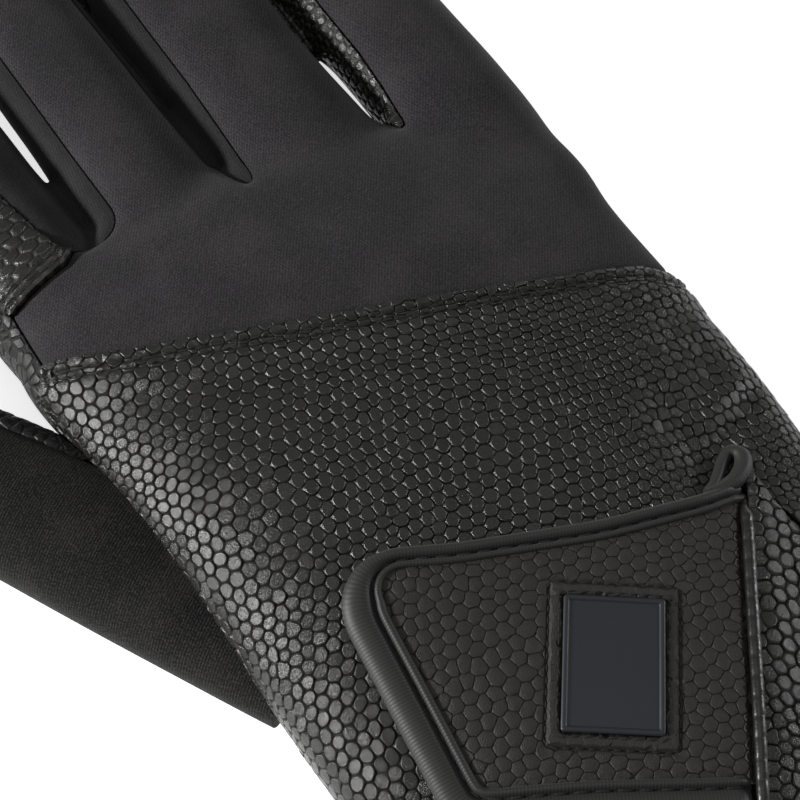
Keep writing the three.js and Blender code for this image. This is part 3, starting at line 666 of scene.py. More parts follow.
# Ribbed tape: the ribs run across it, so they follow its own UV map, u along it in metres
def tapeMaterial(name):
    f = finishes["tape"]
    material, nodes, links, shader = newMaterial(name)
    place = addNode(nodes, "ShaderNodeTexCoord").outputs["Object"]
    along = addNode(nodes, "ShaderNodeUVMap", {"uv_map": "along"}).outputs[0]
    wave = addNode(nodes, "ShaderNodeTexWave", {"bands_direction": "X"}, Scale=0.314 / f["rib"],
                   Distortion=0.25, Detail=1.0)
    links.new(along, wave.inputs["Vector"])
    fuzz = noiseNode(nodes, links, place, 0.0003, 2)
    height = arithmetic(nodes, links, "ADD", wave.outputs["Fac"], arithmetic(nodes, links, "MULTIPLY", fuzz, 0.5))
    links.new(mixColour(nodes, links, ramp(nodes, links, height, 0.0, 1.6), f["colour"], f["light"]),
              shader.inputs["Base Color"])
    shader.inputs["Roughness"].default_value = f["roughness"]
    shader.inputs["Specular IOR Level"].default_value = 0.45
    shader.inputs["Sheen Weight"].default_value = f["sheen"]
    addBump(nodes, links, shader, height, f["depth"])
    return material


def plainMaterial(name, finish, grain=0.0003, depth=0.00001):
    f = finishes[finish]
    material, nodes, links, shader = newMaterial(name)
    place = addNode(nodes, "ShaderNodeTexCoord").outputs["Object"]
    fine = noiseNode(nodes, links, place, grain, 3)
    links.new(mixColour(nodes, links, fine, f["colour"], f["light"]), shader.inputs["Base Color"])
    links.new(ramp(nodes, links, fine, 0.2, 0.8, f["roughness"] - 0.06, f["roughness"] + 0.08),
              shader.inputs["Roughness"])
    addBump(nodes, links, shader, fine, depth)
    return material


glossLeather = leatherMaterial("embossed leather", "glossLeather")
palmLeather = leatherMaterial("palm leather", "palmLeather", 0.0019)
weltLeather = leatherMaterial("folded leather", "weltLeather")
mattLeather = leatherMaterial("matt embossed leather", "mattLeather")
softshell = clothMaterial("softshell cloth", "softshell")
shadedGussetCloth = clothMaterial("gusset cloth with painted shade", "shadedGussetCloth")
thumbKnit = clothMaterial("thumb knit", "thumbKnit")
tape = tapeMaterial("ribbed tape")
rubber = plainMaterial("graphite rubber", "rubber")
thread = plainMaterial("black thread", "thread", 0.00012, 0.00003)
print("materials ready")


# The skin of the hand and its four fingers, from one closed surface
def handLoft(rows=64, sides=110):
    shares = np.linspace(0, handTable[-1, 0], rows)
    turns = np.linspace(0, 2 * math.pi, sides, endpoint=False)
    return tube(np.stack([handPoints(np.full(sides, a), turns) for a in shares]))


def fingerLoft(finger, rows=46, sides=64):
    shares = np.concatenate([np.linspace(-0.3, 0.8, rows - 16), 0.8 + 0.2 * np.sin(np.linspace(0.06, 1, 16) * math.pi / 2)])
    turns = np.linspace(0, 2 * math.pi, sides, endpoint=False)
    lean, rings = math.radians(finger["lean"]), []
    for share in shares:
        x, y, halfWidth, height = fingerFrame(finger, share)
        halfWidth = halfWidth * (1 + 0.05 * math.sin(math.pi * min(max(-share / 0.3, 0), 1)))     # fuller where it joins the hand
        left, right = (glove["fingerSlim"] + most * smoothStep(share, start, full) * (1 - smoothStep(share, fades, ends))
                       for most, start, full, fades, ends in finger["slim"])
        under = [(power, more * smoothStep(share, start, full)) for power, more, start, full in finger["low"]]
        shift = (left - right) / 2
        rings.append(digitPoints(x + shift * math.cos(lean), y + shift * math.sin(lean), halfWidth, height, turns,
                                 lean, -(left + right) / 2, under))
    return tube(np.stack(rings))


def makeSkin(voxel, knucklePasses):
    points, quads = remeshed([handLoft()] + [fingerLoft(f) for f in fingers.values()], voxel)
    points = smoothed(points, quads, 3)
    x, y, z = points.T
    knuckle = smoothStep(y, 108, 124) * smoothStep(-y, -172, -156) * smoothStep(z, 7, 12)
    points = smoothed(points, quads, knucklePasses, 0.5 * knuckle)
    tris = halved(quads)
    normals = pointNormals(points, tris)
    if ((points[tris[:, 0]] - points.mean(0)) * np.cross(points[tris[:, 1]] - points[tris[:, 0]],
                                                          points[tris[:, 2]] - points[tris[:, 0]])).sum() < 0:
        tris, normals = tris[:, ::-1], -normals
    lift = foldHeight(points[:, 0], points[:, 1]) * smoothStep(points[:, 2], 5, 12) * smoothStep(-points[:, 1], -158, -140)
    points = points + normals * lift[:, None]
    points[:, 2] = np.maximum(points[:, 2], 0)
    return points, tris, pointNormals(points, tris)


skinPoints, skinTris, skinNormals = makeSkin(glove["skinVoxel"], 130)
print("skin:", len(skinTris), "triangles")

# The panels' outlines in plan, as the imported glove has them
wide, beyond, halfSeam = 3 * knuckleWidth, 3 * handLength, 0.12
seamShares = [0.02, 0.14, 0.28, 0.45, 0.62, 0.76, 0.86]
handLeft = lambda along: float(handSection(along)[0] - handSection(along)[1])
index, middle, ring, little = fingers.values()


def fourchetteOutline(finger, following, deep=4.5, lean=0.0, narrow=0.0):
    up = np.array([seamPoint(finger, share, 1) for share in seamShares])
    down = np.array([seamPoint(following, share, -1) for share in seamShares])
    near = narrow * (1 - smoothStep(np.array(seamShares), 0, 0.25))[:, None]      # the strips taper to the web
    up, down = (up * (1 - near) + down * near).tolist(), (down * (1 - near) + up * near).tolist()[::-1]
    topX = (up[-1][0] + down[0][0]) / 2
    left, right = up[0], down[-1]
    middleX, low = (left[0] + right[0]) / 2, min(left[1], right[1]) - deep
    arc = []
    for k in range(1, 12):      # round the bottom of the U
        turn = math.pi * k / 12
        reach = (right[0] - left[0]) / 2
        side = left[1] if k > 6 else right[1]
        arc.append([middleX + reach * math.cos(turn), side - (side - low) * math.sin(turn) ** 0.9
                    - lean * reach * math.cos(turn) * math.sin(turn)])
    return [*up, [topX, up[-1][1]], [topX, down[0][1]], *down, *arc]


wrapOutline = [
    [-wide, 0.8 * handLength], [handLeft(0.8), 0.8 * handLength],
    [handLeft(0.88) + glove["seamInset"] * 0.85, 0.88 * handLength],
    *[seamPoint(index, share, -1) for share in seamShares],
    [index["x"] - index["width"], float(fingerFrame(index, 0.86)[1])],
    [-wide, float(fingerFrame(index, 0.86)[1])],
]
indexStart = 0.955 * handLength
indexOutline = [
    [-wide, indexStart], [seamPoint(index, 0, -1)[0], indexStart],
    [seamPoint(index, 0, 1)[0], indexStart + glove["seamInset"] * 0.6],
    [index["x"] + index["width"] / 2 + 0.5, float(fingerFrame(index, 0.02)[1])],
    [index["x"] + index["width"] / 2 + 0.5, beyond], [-wide, beyond],
]
fourchetteOutlines = [fourchetteOutline(index, middle), fourchetteOutline(middle, ring, 5.2, 0.0, 0.16),
                      fourchetteOutline(ring, little, 2.4, 0.3, 0.3)]
webLines = []      # the crease that each gap ends in, in plan
for finger, following, outline in zip((index, middle, ring), (middle, ring, little), fourchetteOutlines):
    foot = np.array(outline[len(seamShares) * 2 + 7])
    at = [((fingerFrame(finger, a)[0] + fingerFrame(finger, a)[2]) + (fingerFrame(following, a)[0] - fingerFrame(following, a)[2])) / 2
          for a in (0.02, 0.2)]
    webLines.append(np.array([foot + (0, 0.8), (at[0], float(fingerFrame(finger, 0.02)[1])), (at[1], float(fingerFrame(finger, 0.2)[1]))]))
onHand = lambda p: [p[0] * knuckleWidth, p[1] * handLength]
cuffSeam = [onHand(p) for p in ((-3, 1.9), (-0.459, 0.878), (-0.326, 0.823), (-0.097, 0.751), (0.123, 0.688),
                                (0.288, 0.643), (0.42, 0.614), (3, 0.2))]
cuffOutline = [*cuffSeam, [wide, -beyond], [-wide, -beyond]]


def skinPanel(name, field, material, node, press=0.5, shoulder=0.8, wall=None, divide=0, relief=None,
              source=None):
    points, tris, normals = source or (skinPoints, skinTris, skinNormals)
    value = field(points)
    points, tris, normals = compact(points, tris[(value[tris] > -2.5).any(1)], normals)
    for _ in range(divide):
        points, tris, normals = divided(points, tris, normals)
    points, tris, normals, value = trimmed(points, tris, normals, field)
    outer = -press * np.exp(-((np.maximum(value, 0) / shoulder) ** 1.4))
    attributes = None
    if relief:
        height, groove, tone = relief(points, value)
        outer = outer + height
        # groove darkens the colour in the shader: painted shade in the grooves
        attributes = {"groove": np.concatenate([groove, groove * 0]), "tone": np.concatenate([tone, tone])}
    inner = np.full(len(points), -(glove["wall"] if wall is None else wall))
    made, faces = walled(points, tris, normals, outer, np.minimum(inner, outer - 0.3))
    return addPiece(name, made, faces, material, (node,), attributes)


def upperField(points):
    return points[:, 2] - glove["palmSeam"] - halfSeam


def backField(points):
    x, y, _ = points.T
    parts = [upperField(points), -signedDistance(wrapOutline, x, y) - halfSeam,
             -signedDistance(indexOutline, x, y) - halfSeam, 3.2 - signedDistance(cuffOutline, x, y)]
    parts += [-signedDistance(o, x, y) - halfSeam for o in fourchetteOutlines]
    return np.min(parts, 0)


def backRelief(points, value):
    under = signedDistance(cuffOutline, points[:, 0], points[:, 1])
    sink = -0.55 * smoothStep(under, -0.8, 0.6)
    return sink, value * 0, value * 0


def creaseRelief(line, depth=1.1, reach=1.3):
    def relief(points, value):
        d = distanceTo(line, points[:, :2])
        return -depth * np.exp(-((d / reach) ** 2)) * smoothStep(points[:, 2], 6, 12), value * 0, value * 0
    return relief


skinPanel("back_cloth", backField, softshell, "back_panel", press=0.6, shoulder=1.0, relief=backRelief)
# the gussets take the darker cloth, whose darkness is painted shade
for k, (name, node) in enumerate((("fourchette_index_middle_cloth", "fourchette_index_middle"),
                                  ("fourchette_middle_ring_cloth", "fourchette_middle_ring"))):
    others = [o for j, o in enumerate(fourchetteOutlines) if j != k]
    skinPanel(name, lambda p, o=fourchetteOutlines[k]: np.minimum(upperField(p), signedDistance(o, p[:, 0], p[:, 1]) - halfSeam),
              shadedGussetCloth, node, press=0.5, shoulder=0.9, relief=creaseRelief(webLines[k]))


# Scales on a finger's skin: the nearest two of a staggered field of centres give the groove between them
def scaleRelief(unroll, pitch, depth, seed=3):
    def relief(points, value):
        uv = unroll(points)
        low, high = uv.min(0) - 3 * pitch, uv.max(0) + 3 * pitch
        sites = hexSites(low[0], high[0], low[1], high[1], pitch, 0.2, seed)
        tree = kdtree.KDTree(len(sites))
        for i, s in enumerate(sites):
            tree.insert((s[0], s[1], 0), i)
        tree.balance()
        gap, nearest = np.zeros(len(uv)), np.zeros(len(uv), int)
        for i, p in enumerate(uv):
            (_, k, first), (_, _, second) = tree.find_n((p[0], p[1], 0), 2)
            gap[i], nearest[i] = second - first, k
        tone = np.random.default_rng(seed).random(len(sites))[nearest]
        # groove sinks the mesh, and as an attribute it darkens the colour there in the shader as painted shade
        groove = 1 - smoothStep(gap, 0.08, 0.7)
        return -depth * groove, groove, tone
    return relief


def hexSites(lowU, highU, lowV, highV, pitch, jitter, seed):
    rng = np.random.default_rng(seed)
    rows, columns = int((highV - lowV) / (pitch * 0.866)) + 2, int((highU - lowU) / pitch) + 2
    r, c = np.meshgrid(np.arange(rows), np.arange(columns), indexing="ij")
    u = lowU + (c + 0.5 * (r % 2)) * pitch
    v = lowV + r * pitch * 0.866
    sites = np.stack([u.ravel(), v.ravel()], -1) + rng.uniform(-jitter, jitter, (u.size, 2)) * pitch
    u, v = sites.T      # the hide's growth: slow waves that crowd the scales here and stretch them there
    bend = np.stack([np.sin(v / 13 + 1) + 1.2 * np.sin(u / 6.3 + 1.5 * np.sin(v / 21)) + 0.2 * np.sin((u + v) / 3.1),
                     np.sin(u / 11 + 2) + 1.2 * np.sin(v / 6.1 + 1.5 * np.sin(u / 18)) + 0.2 * np.sin((u - v) / 3.4 + 1)], -1)
    return sites + bend * pitch * 0.26


def fingerUnroll(finger, round=7.5):
    def unroll(points):
        x = points[:, 0] - finger["x"] + (points[:, 1] - finger["web"]) * math.sin(math.radians(finger["lean"]))
        return np.stack([np.arctan2(x, points[:, 2] - 6) * round, points[:, 1]], -1)
    return unroll


indexHem = {"width": 3.0, "rise": 0.9, "rows": (1.15, 2.5), "groove": 0.4}


def indexField(points):
    x, y, _ = points.T
    return np.min([upperField(points), signedDistance(indexOutline, x, y) - halfSeam,
                   -signedDistance(wrapOutline, x, y) - halfSeam,
                   -signedDistance(fourchetteOutlines[0], x, y) - halfSeam], 0)


def indexRelief(points, value):
    height, groove, tone = scaleRelief(fingerUnroll(index), 2.05, 0.3)(points, value)
    rise = signedDistance(indexOutline, points[:, 0], points[:, 1])
    scaled = smoothStep(rise, indexHem["width"] - 0.2, indexHem["width"] + 0.4)
    rows = sum(np.exp(-(((rise - d) / 0.34) ** 2)) for d in indexHem["rows"])
    fold = indexHem["rise"] * (1 - smoothStep(rise, indexHem["width"], 8)) - indexHem["groove"] * rows
    scaled = 0.3 + 0.7 * scaled
    return height * scaled + fold, groove * scaled, tone


indexLeather = skinPanel("index_back_leather", indexField, glossLeather, "index_back", press=0.35, shoulder=0.5,
          divide=1, relief=indexRelief)
wallUnroll = lambda p: np.stack([np.where(p[:, 0] > ring["x"] + ring["width"] / 2 + 0.4, p[:, 2] + 9, -p[:, 2]), p[:, 1]], -1)
skinPanel("fourchette_ring_little_leather",
          lambda p: np.minimum(upperField(p), signedDistance(fourchetteOutlines[2], p[:, 0], p[:, 1]) - halfSeam),
          glossLeather, "fourchette_ring_little", press=0.3, shoulder=0.5, divide=1,
          relief=scaleRelief(wallUnroll, 1.9, 0.24))

palmSkin = makeSkin(glove["palmVoxel"], 20)


def palmField(points):
    x, y, z = points.T
    wrap = np.minimum(signedDistance(wrapOutline, x, y) - halfSeam, 99)
    return np.minimum(np.maximum(glove["palmSeam"] - halfSeam - z, wrap), y - glove["hemWidth"] - 0.2)


skinPanel("palm_leather", palmField, palmLeather, "palm_panel", press=0.3, shoulder=0.6, source=palmSkin)
print("skin panels ready")


# Embossed scales as a mesh: cells of a staggered field, each a flat-topped boss in its groove
def drawnOut(sites, style):      # past a slanting line the scales grow narrow across it
    if "drawn" not in style:
        return sites
    share, start, reach, turn = style["drawn"]
    over = np.array([math.cos(turn), math.sin(turn)])
    beyondLine = np.maximum(sites @ over - start, 0)
    full = np.minimum(beyondLine / reach, 1)
    return sites - (share * (beyondLine - reach * full * (1 - full / 2) * (beyondLine > 0)))[:, None] * over * (beyondLine > 0)[:, None]


def scaleCells(lowU, highU, lowV, highV, pitch, jitter, seed, style):
    sites = drawnOut(hexSites(lowU, highU, lowV, highV, pitch, jitter, seed), style)
    for relax in range(2):
        found = geometry.delaunay_2d_cdt([Vector(s) for s in sites], [], [], 0, 1e-4)
        sites, tris = np.array([tuple(v) for v in found[0]]), np.array([list(f) for f in found[2]])
        a, b, c = (sites[tris[:, k]] for k in range(3))
        d = 2 * (a[:, 0] * (b[:, 1] - c[:, 1]) + b[:, 0] * (c[:, 1] - a[:, 1]) + c[:, 0] * (a[:, 1] - b[:, 1]))
        aa, bb, cc = ((p**2).sum(1) for p in (a, b, c))
        centres = np.stack([(aa * (b[:, 1] - c[:, 1]) + bb * (c[:, 1] - a[:, 1]) + cc * (a[:, 1] - b[:, 1])) / d,
                            (aa * (c[:, 0] - b[:, 0]) + bb * (a[:, 0] - c[:, 0]) + cc * (b[:, 0] - a[:, 0])) / d], -1)
        around = [[] for _ in sites]
        for t, corners in enumerate(tris):
            for s in corners:
                around[s].append(t)
        cells = []
        for s, near in enumerate(around):
            inner = (lowU + 1.5 * pitch < sites[s, 0] < highU - pitch and lowV + 1.5 * pitch < sites[s, 1] < highV - pitch)
            if inner and len(near) > 3:
                spokes = centres[near] - sites[s]
                cells.append((s, [near[k] for k in np.argsort(np.arctan2(spokes[:, 1], spokes[:, 0]))]))
        if relax == 0:
            for s, cell in cells:
                sites[s] += 0.5 * (centres[cell].mean(0) - sites[s])
    return centres, [cell for _, cell in cells]


def ringArea(p):
    return 0.5 * float(np.sum(p[:, 0] * np.roll(p[:, 1], -1) - np.roll(p[:, 0], -1) * p[:, 1]))


# Corners nearer than this are one, because a cell with two at one place breaks the cut
def mergedCorners(centres, cells, near=0.06):
    tree = kdtree.KDTree(len(centres))
    for i, c in enumerate(centres):
        tree.insert((c[0], c[1], 0), i)
    tree.balance()
    name = np.full(len(centres), -1)
    for i, c in enumerate(centres):
        if name[i] < 0:
            for _, k, _ in tree.find_range((c[0], c[1], 0), near):
                if name[k] < 0:
                    name[k] = i
    made = []
    for cell in cells:
        ids = [int(name[k]) for k in cell]
        ids = [i for i, before in zip(ids, ids[-1:] + ids[:-1]) if i != before]
        if len(ids) > 2 and len(set(ids)) == len(ids):
            made.append(ids)
    return made


# The cells inside an outline, those on it cut along it, and those on a line cut in two
def clippedCells(centres, cells, outline, lines=()):
    cells = mergedCorners(centres, cells)
    inside = signedDistance(outline, centres[:, 0], centres[:, 1])
    cells = [cell for cell in cells if max(inside[k] for k in cell) > -2.5]
    used = sorted({k for cell in cells for k in cell})
    order = {k: i for i, k in enumerate(used)}
    cells = [[order[k] for k in cell] for cell in cells]
    coords = [Vector(centres[k]) for k in used] + [Vector(p) for p in outline]
    border = list(range(len(used), len(coords)))
    cuts = []
    for line in lines:
        cuts += [(len(coords) + k, len(coords) + k + 1) for k in range(len(line) - 1)]
        coords += [Vector(p) for p in line]
    made = geometry.delaunay_2d_cdt(coords, cuts, cells + [border], 4, 1e-4)
    flat, polygons = np.array([tuple(v) for v in made[0]]), []
    for face, ids in zip(made[2], made[5]):
        if len(cells) in ids and len(ids) > 1:
            ordered = list(face)
            polygons.append(ordered if ringArea(flat[ordered]) > 0 else ordered[::-1])
    return flat, polygons


# style: pitch, groove, shoulder, top, dome. rise and inner give the outer and inner heights at a point.
# soften gives the share of the bosses that is left at a point.
def embossedPanel(name, outline, style, rise, inner, material, nodes, seed, hidden=None, soften=None, lines=()):
    outline = np.asarray(outline, float)
    low, high = outline.min(0) - 3 * style["pitch"], outline.max(0) + style.get("beyond", 3) * style["pitch"]
    centres, cells = scaleCells(low[0], high[0], low[1], high[1], style["pitch"], style["jitter"], seed, style)
    if ringArea(outline) < 0:
        outline = outline[::-1]
    flat, polygons = clippedCells(centres, cells, outline, lines)
    uv, height, groove, tone = [tuple(p) for p in flat], [-style["groove"]] * len(flat), [1.0] * len(flat), [0.5] * len(flat)
    outerFaces, innerFaces, middles = [], [], {}
    rng = np.random.default_rng(seed + 1)

    def add(p, h, g, t):
        uv.append((float(p[0]), float(p[1])))
        height.append(h)
        groove.append(g)
        tone.append(t)
        return len(uv) - 1
    for polygon in polygons:
        loop = []
        for i, j in zip(polygon, polygon[1:] + polygon[:1]):
            key = (min(i, j), max(i, j))
            if key not in middles:
                middles[key] = add((flat[i] + flat[j]) / 2, -style["groove"], 1.0, 0.5)
            loop += [i, middles[key]]
        innerFaces.append(loop[::-1])
        p = np.array([uv[i] for i in loop])
        area, t = abs(ringArea(p)), rng.random()
        centre = p.mean(0)
        tilt = rng.normal(0, style["tilt"], 2)
        # small cells and those under the strap stay sunk, and their groove value darkens them as painted shade
        if area < 0.25 * style["pitch"] ** 2 * 0.5 or (hidden is not None and hidden(centre)):
            middleIndex = add(centre, -style["groove"] * 0.6, 0.8, t)
            outerFaces += [[i, j, middleIndex] for i, j in zip(loop, loop[1:] + loop[:1])]
            continue
        soft = p
        for _ in range(4):
            soft = (np.roll(soft, 1, 0) + 2 * soft + np.roll(soft, -1, 0)) / 4
        spokes = (soft + style["angular"] * (p - soft)) - centre
        reach = np.linalg.norm(spokes, axis=1)
        inside = np.minimum(reach * style["round"], np.linalg.norm(p - centre, axis=1) - 0.02) / np.maximum(reach, 1e-6)
        spokes, reach = spokes * inside[:, None], reach * inside
        lift = rng.normal(0, style["lift"])
        rings = [loop]
        for inset, h, g in ((style["shoulder"], -style["groove"] * 0.2, 0.25), (style["top"], 0.0, 0.0)):
            at = centre + spokes * (np.maximum(reach - inset, 0.35 * reach) / np.maximum(reach, 1e-6))[:, None]
            rings.append([add(q, h + lift + float((q - centre) @ tilt), g, t) for q in at])
        middleIndex = add(centre, style["dome"] + lift, 0.0, t)
        for outerRing, innerRing in zip(rings, rings[1:]):
            for k in range(len(loop)):
                n = (k + 1) % len(loop)
                outerFaces.append([outerRing[k], outerRing[n], innerRing[n], innerRing[k]])
        last = rings[-1]
        outerFaces += [[i, j, middleIndex] for i, j in zip(last, last[1:] + last[:1])]
    uv, height, groove = np.array(uv), np.array(height), np.array(groove)
    if soften is not None:
        height, groove = height * soften(uv), groove * soften(uv)
    edges = {}
    for loop in innerFaces:
        for j, i in zip(loop, loop[1:] + loop[:1]):
            edges[(i, j)] = edges.get((i, j), 0) + 1
    rim = [(i, j) for i, j in edges if (j, i) not in edges]
    used = sorted({i for loop in innerFaces for i in loop})
    innerIndex = {i: len(uv) + k for k, i in enumerate(used)}
    allUv = np.vstack([uv, uv[used]])
    heights = np.concatenate([height + rise(uv), inner(uv[used])])
    faces = outerFaces + [[innerIndex[i] for i in loop] for loop in innerFaces]
    faces += [[j, i, innerIndex[i], innerIndex[j]] for i, j in rim]
    points = onBack(allUv[:, 0], allUv[:, 1], heights)
    # the groove attribute darkens and roughens the colour in the grooves: the darkening is painted shade
    attributes = {"groove": np.concatenate([groove, np.zeros(len(used))]), "tone": tone + [0.5] * len(used)}
    return addPiece(name, points, faces, material, nodes, attributes, 22)


# The strap and the panel that it is sewn to, in plan
strapTop = [onHand(p) for p in ((0.36, 0.352), (0.242, 0.363), (0.09, 0.394), (-0.121, 0.453))]
strapEnd = [onHand(p) for p in ((-0.306, 0.518), (-0.353, 0.214))]
strapFoot = [onHand(p) for p in ((-0.18, 0.147), (-0.06, 0.096), (0.1, 0.031))]
strapCorners = np.array([*strapTop, *strapEnd, *strapFoot])
endCorners = (4, 5)
rootTop, rootFoot = np.array(onHand((0.279, 0.33))), np.array(onHand((0.021, 0.083)))
rootLength = float(np.linalg.norm(rootFoot - rootTop))
rootRun = (rootFoot - rootTop) / rootLength
rootSide = np.array([-rootRun[1], rootRun[0]])
besideRoot = lambda along, across: rootTop + rootRun * along + rootSide * across
apex, slitFoot = np.array(onHand((0.3345, 0.378))), np.array(onHand((-0.04, -0.035)))
strapInset = lambda inset: rounded(grown(strapCorners, -inset), endCorners, 8 - inset)
strapPlan = strapInset(0)

cuff = {"pitch": 2.2, "jitter": 0.22, "groove": 0.3, "shoulder": 0.1, "top": 0.2, "dome": 0.008,
        "tilt": 0.045, "angular": 0.0, "round": 1.2, "lift": 0.012, "drawn": (0.3, 30.0, 16.0, 0.39), "beyond": 12, "lap": 0.6, "firstRow": 2.0, "secondRow": 3.15}
seamLine = toBack(densified([(-44.2, 127.4), *cuffSeam[2:7], (45.5, 85.6)], 1.0))
firstV, lastV = seamLine[0, 1], seamLine[-1, 1]
leftV = np.arange(glove["hemWidth"] + 0.3, 116, 1.5)
rightV = np.arange(lastV - 2, glove["hemWidth"] + 0.3, -1.5)
leftU, rightU = sideLine(leftV, -1, 5.45), sideLine(rightV, 1, 5.45)
hemV = glove["hemWidth"] + 0.3
sideBorder = toBack(densified([onHand(p) for p in ((0.362, 0.0366), (0.368, 0.1), (0.366, 0.2), (0.356, 0.284),
                                                   (0.342, 0.317))] + [(apex[0] + 1.1, apex[1] - 0.3)], 1.0))
slitTop = toBack([(apex[0] + 0.8, apex[1]), (apex[0] - 0.8, apex[1]), besideRoot(0, -1.6), besideRoot(rootLength, -1.6)])
def rowBelowSeam(distance):      # a stitch row beside the cuff's top seam
    step = besideLine(seamLine)
    step *= -np.sign(step[:, 1])[:, None]
    return evenly(seamLine + step * distance, 1.0)[1:-1]


cuffRows = [rowBelowSeam(cuff[k]) for k in ("firstRow", "secondRow")]
cuffLoop = np.vstack([
    np.stack([leftU, leftV], -1), seamLine, np.stack([rightU, rightV], -1), sideBorder, slitTop,
    toBack([(-2.4, 5.3)]),
])
strapUv = toBack(densified(np.vstack([strapPlan, strapPlan[:1]]), 1.0))


def cuffRise(uv):
    d = distanceTo(seamLine, uv)
    lift = cuff["lap"] * (1 - smoothStep(d, 3.6, 9)) + 0.16 * np.exp(-(((d - 1.1) / 0.6) ** 2))
    rows = sum(0.36 * np.exp(-(((d - cuff[k]) / 0.42) ** 2)) for k in ("firstRow", "secondRow"))
    side = distanceTo(sideBorder, uv)
    return lift - rows + 0.55 * np.exp(-((side / 3.5) ** 2))


def cuffInner(uv):
    d = distanceTo(seamLine, uv)
    return -glove["wall"] + (glove["wall"] + 0.02) * (1 - smoothStep(d, 3.4, 6))


strapInside = lambda c: signedDistance(strapUv, np.array([c[0]]), np.array([c[1]]))[0] > 3
embossedPanel("cuff_leather", cuffLoop, cuff, cuffRise, cuffInner, glossLeather, ("cuff_panel",), 11, strapInside,
              lines=cuffRows)

side = {"pitch": 2.3, "jitter": 0.24, "groove": 0.38, "shoulder": 0.15, "top": 0.28, "dome": 0.02,
        "tilt": 0.05, "angular": 0.0, "round": 1.2, "lift": 0.025, "rise": 2.25, "weltWidth": 1.55}
sideLoop = np.vstack([toBack(densified([besideRoot(0.2, 1.35), besideRoot(rootLength, 1.35), (0.8, 5.3)], 1.0)),
                      toBack(densified([(0.8, 5.3), onHand((0.362, 0.0366))], 1.0))[1:],
                      toBack(densified([onHand(p) for p in ((0.362, 0.0366), (0.368, 0.1), (0.366, 0.2), (0.356, 0.284), (0.342, 0.317))]
                                       + [(apex[0] + 1.0, apex[1] - 0.9)], 1.0))[1:] - (0.3, 0)])
rootLine = toBack(densified([besideRoot(-6, 0), besideRoot(rootLength + 9, 0)], 1.0))


def sideRise(uv):
    d = distanceTo(rootLine, uv)
    border = distanceTo(sideBorder, uv)
    return side["rise"] * (1 - smoothStep(d, 2.6, 11)) - 0.3 * np.exp(-((border / 1.4) ** 2))


def sideInner(uv):      # over the strap's edge near the root, and down to the lining further on
    d = distanceTo(rootLine, uv)
    return (side["rise"] - 0.7) * (1 - smoothStep(d, 1.6, 4)) - 1.3 * smoothStep(d, 1.6, 4)


embossedPanel("side_leather", sideLoop, side, sideRise, sideInner, glossLeather, ("side_panel",), 23)

strap = {"pitch": 2.25, "jitter": 0.3, "groove": 0.17, "shoulder": 0.06, "top": 0.15, "dome": 0.01,
         "tilt": 0.016, "angular": 0.0, "round": 1.22, "lift": 0.01, "top height": 2.1, "low height": 0.32}
badge = {"across": -0.03 * knuckleWidth, "along": 0.265 * handLength, "turn": -36.0, "width": 14.5, "height": 19.7,
         "margin": 2.1, "round": 0.5, "top": 2.62, "rim": 0.2, "rimWidth": 0.75}
badgeMiddle = toBack([(badge["across"], badge["along"])])[0]
badgeSpin = math.radians(badge["turn"])


def badgePlace(uv):
    d = np.asarray(uv) - badgeMiddle
    return (d[:, 0] * math.cos(badgeSpin) + d[:, 1] * math.sin(badgeSpin),
            -d[:, 0] * math.sin(badgeSpin) + d[:, 1] * math.cos(badgeSpin))


def windowDistance(uv):      # inside the stitched window above 0
    across, up = badgePlace(uv)
    return np.minimum(badge["width"] / 2 + badge["margin"] - abs(across), badge["height"] / 2 + badge["margin"] - abs(up))


# The tape round the strap: its width in millimetres on the top run, and round the end and the foot
binding = {"narrow": 3.2, "wide": 6.1, "narrowGroove": 0.62, "wideGroove": 0.76, "step": 0.55}


besideValue = lambda p: (p - rootTop) @ rootSide      # below 0 on the strap's side of its root
bindingLine = densified(strapPlan, 1.0)
bindingLine = evenly(bindingLine[besideValue(bindingLine) < 0.2], binding["step"], 6)
inward = besideLine(bindingLine)
if signedDistance(strapPlan, *(bindingLine + inward)[len(inward) // 2][:, None])[0] < 0:
    inward = -inward
turning = np.argmin(np.linalg.norm(bindingLine - np.array(strapEnd[0]), axis=1)) * binding["step"]
wider = smoothStep(np.arange(len(bindingLine)) * binding["step"], turning - 9, turning + 5)
bindingWidth, bindingGroove = (binding[a] + (binding[b] - binding[a]) * wider
                               for a, b in (("narrow", "wide"), ("narrowGroove", "wideGroove")))
strapSide = (bindingLine + inward * (bindingWidth - 0.6)[:, None])[besideValue(bindingLine) < -0.6]
strapSide = np.vstack([strapSide[0] + rootSide * (1.3 - besideValue(strapSide[:1])), strapSide,
                       strapSide[-1] + rootSide * (1.3 - besideValue(strapSide[-1:]))])
strapLoop = toBack(densified(np.vstack([evenly(strapSide, 1.0), strapSide[:1]]), 1.0)[:-1])
strapEdge = np.vstack([strapLoop, strapLoop[:1]])


def strapRise(uv):
    d = distanceTo(strapEdge, uv)
    window = windowDistance(uv)
    frame = smoothStep(window, 0, 0.5)
    root = distanceTo(rootLine, uv)
    return (strap["top height"] - 0.35 * np.exp(-((d / 0.9) ** 2)) - 0.32 * np.exp(-((window / 0.3) ** 2))
            + 0.3 * frame * (1 - smoothStep(window, badge["margin"] - 0.35, badge["margin"] + 0.1))
            - 0.5 * smoothStep(window, badge["margin"] - 0.2, badge["margin"] + 0.2)
            - 0.85 * (1 - smoothStep(root, 0.2, 0.9)))


def strapSoften(uv):
    return 1 - 0.8 * smoothStep(windowDistance(uv), -0.4, 0.1)


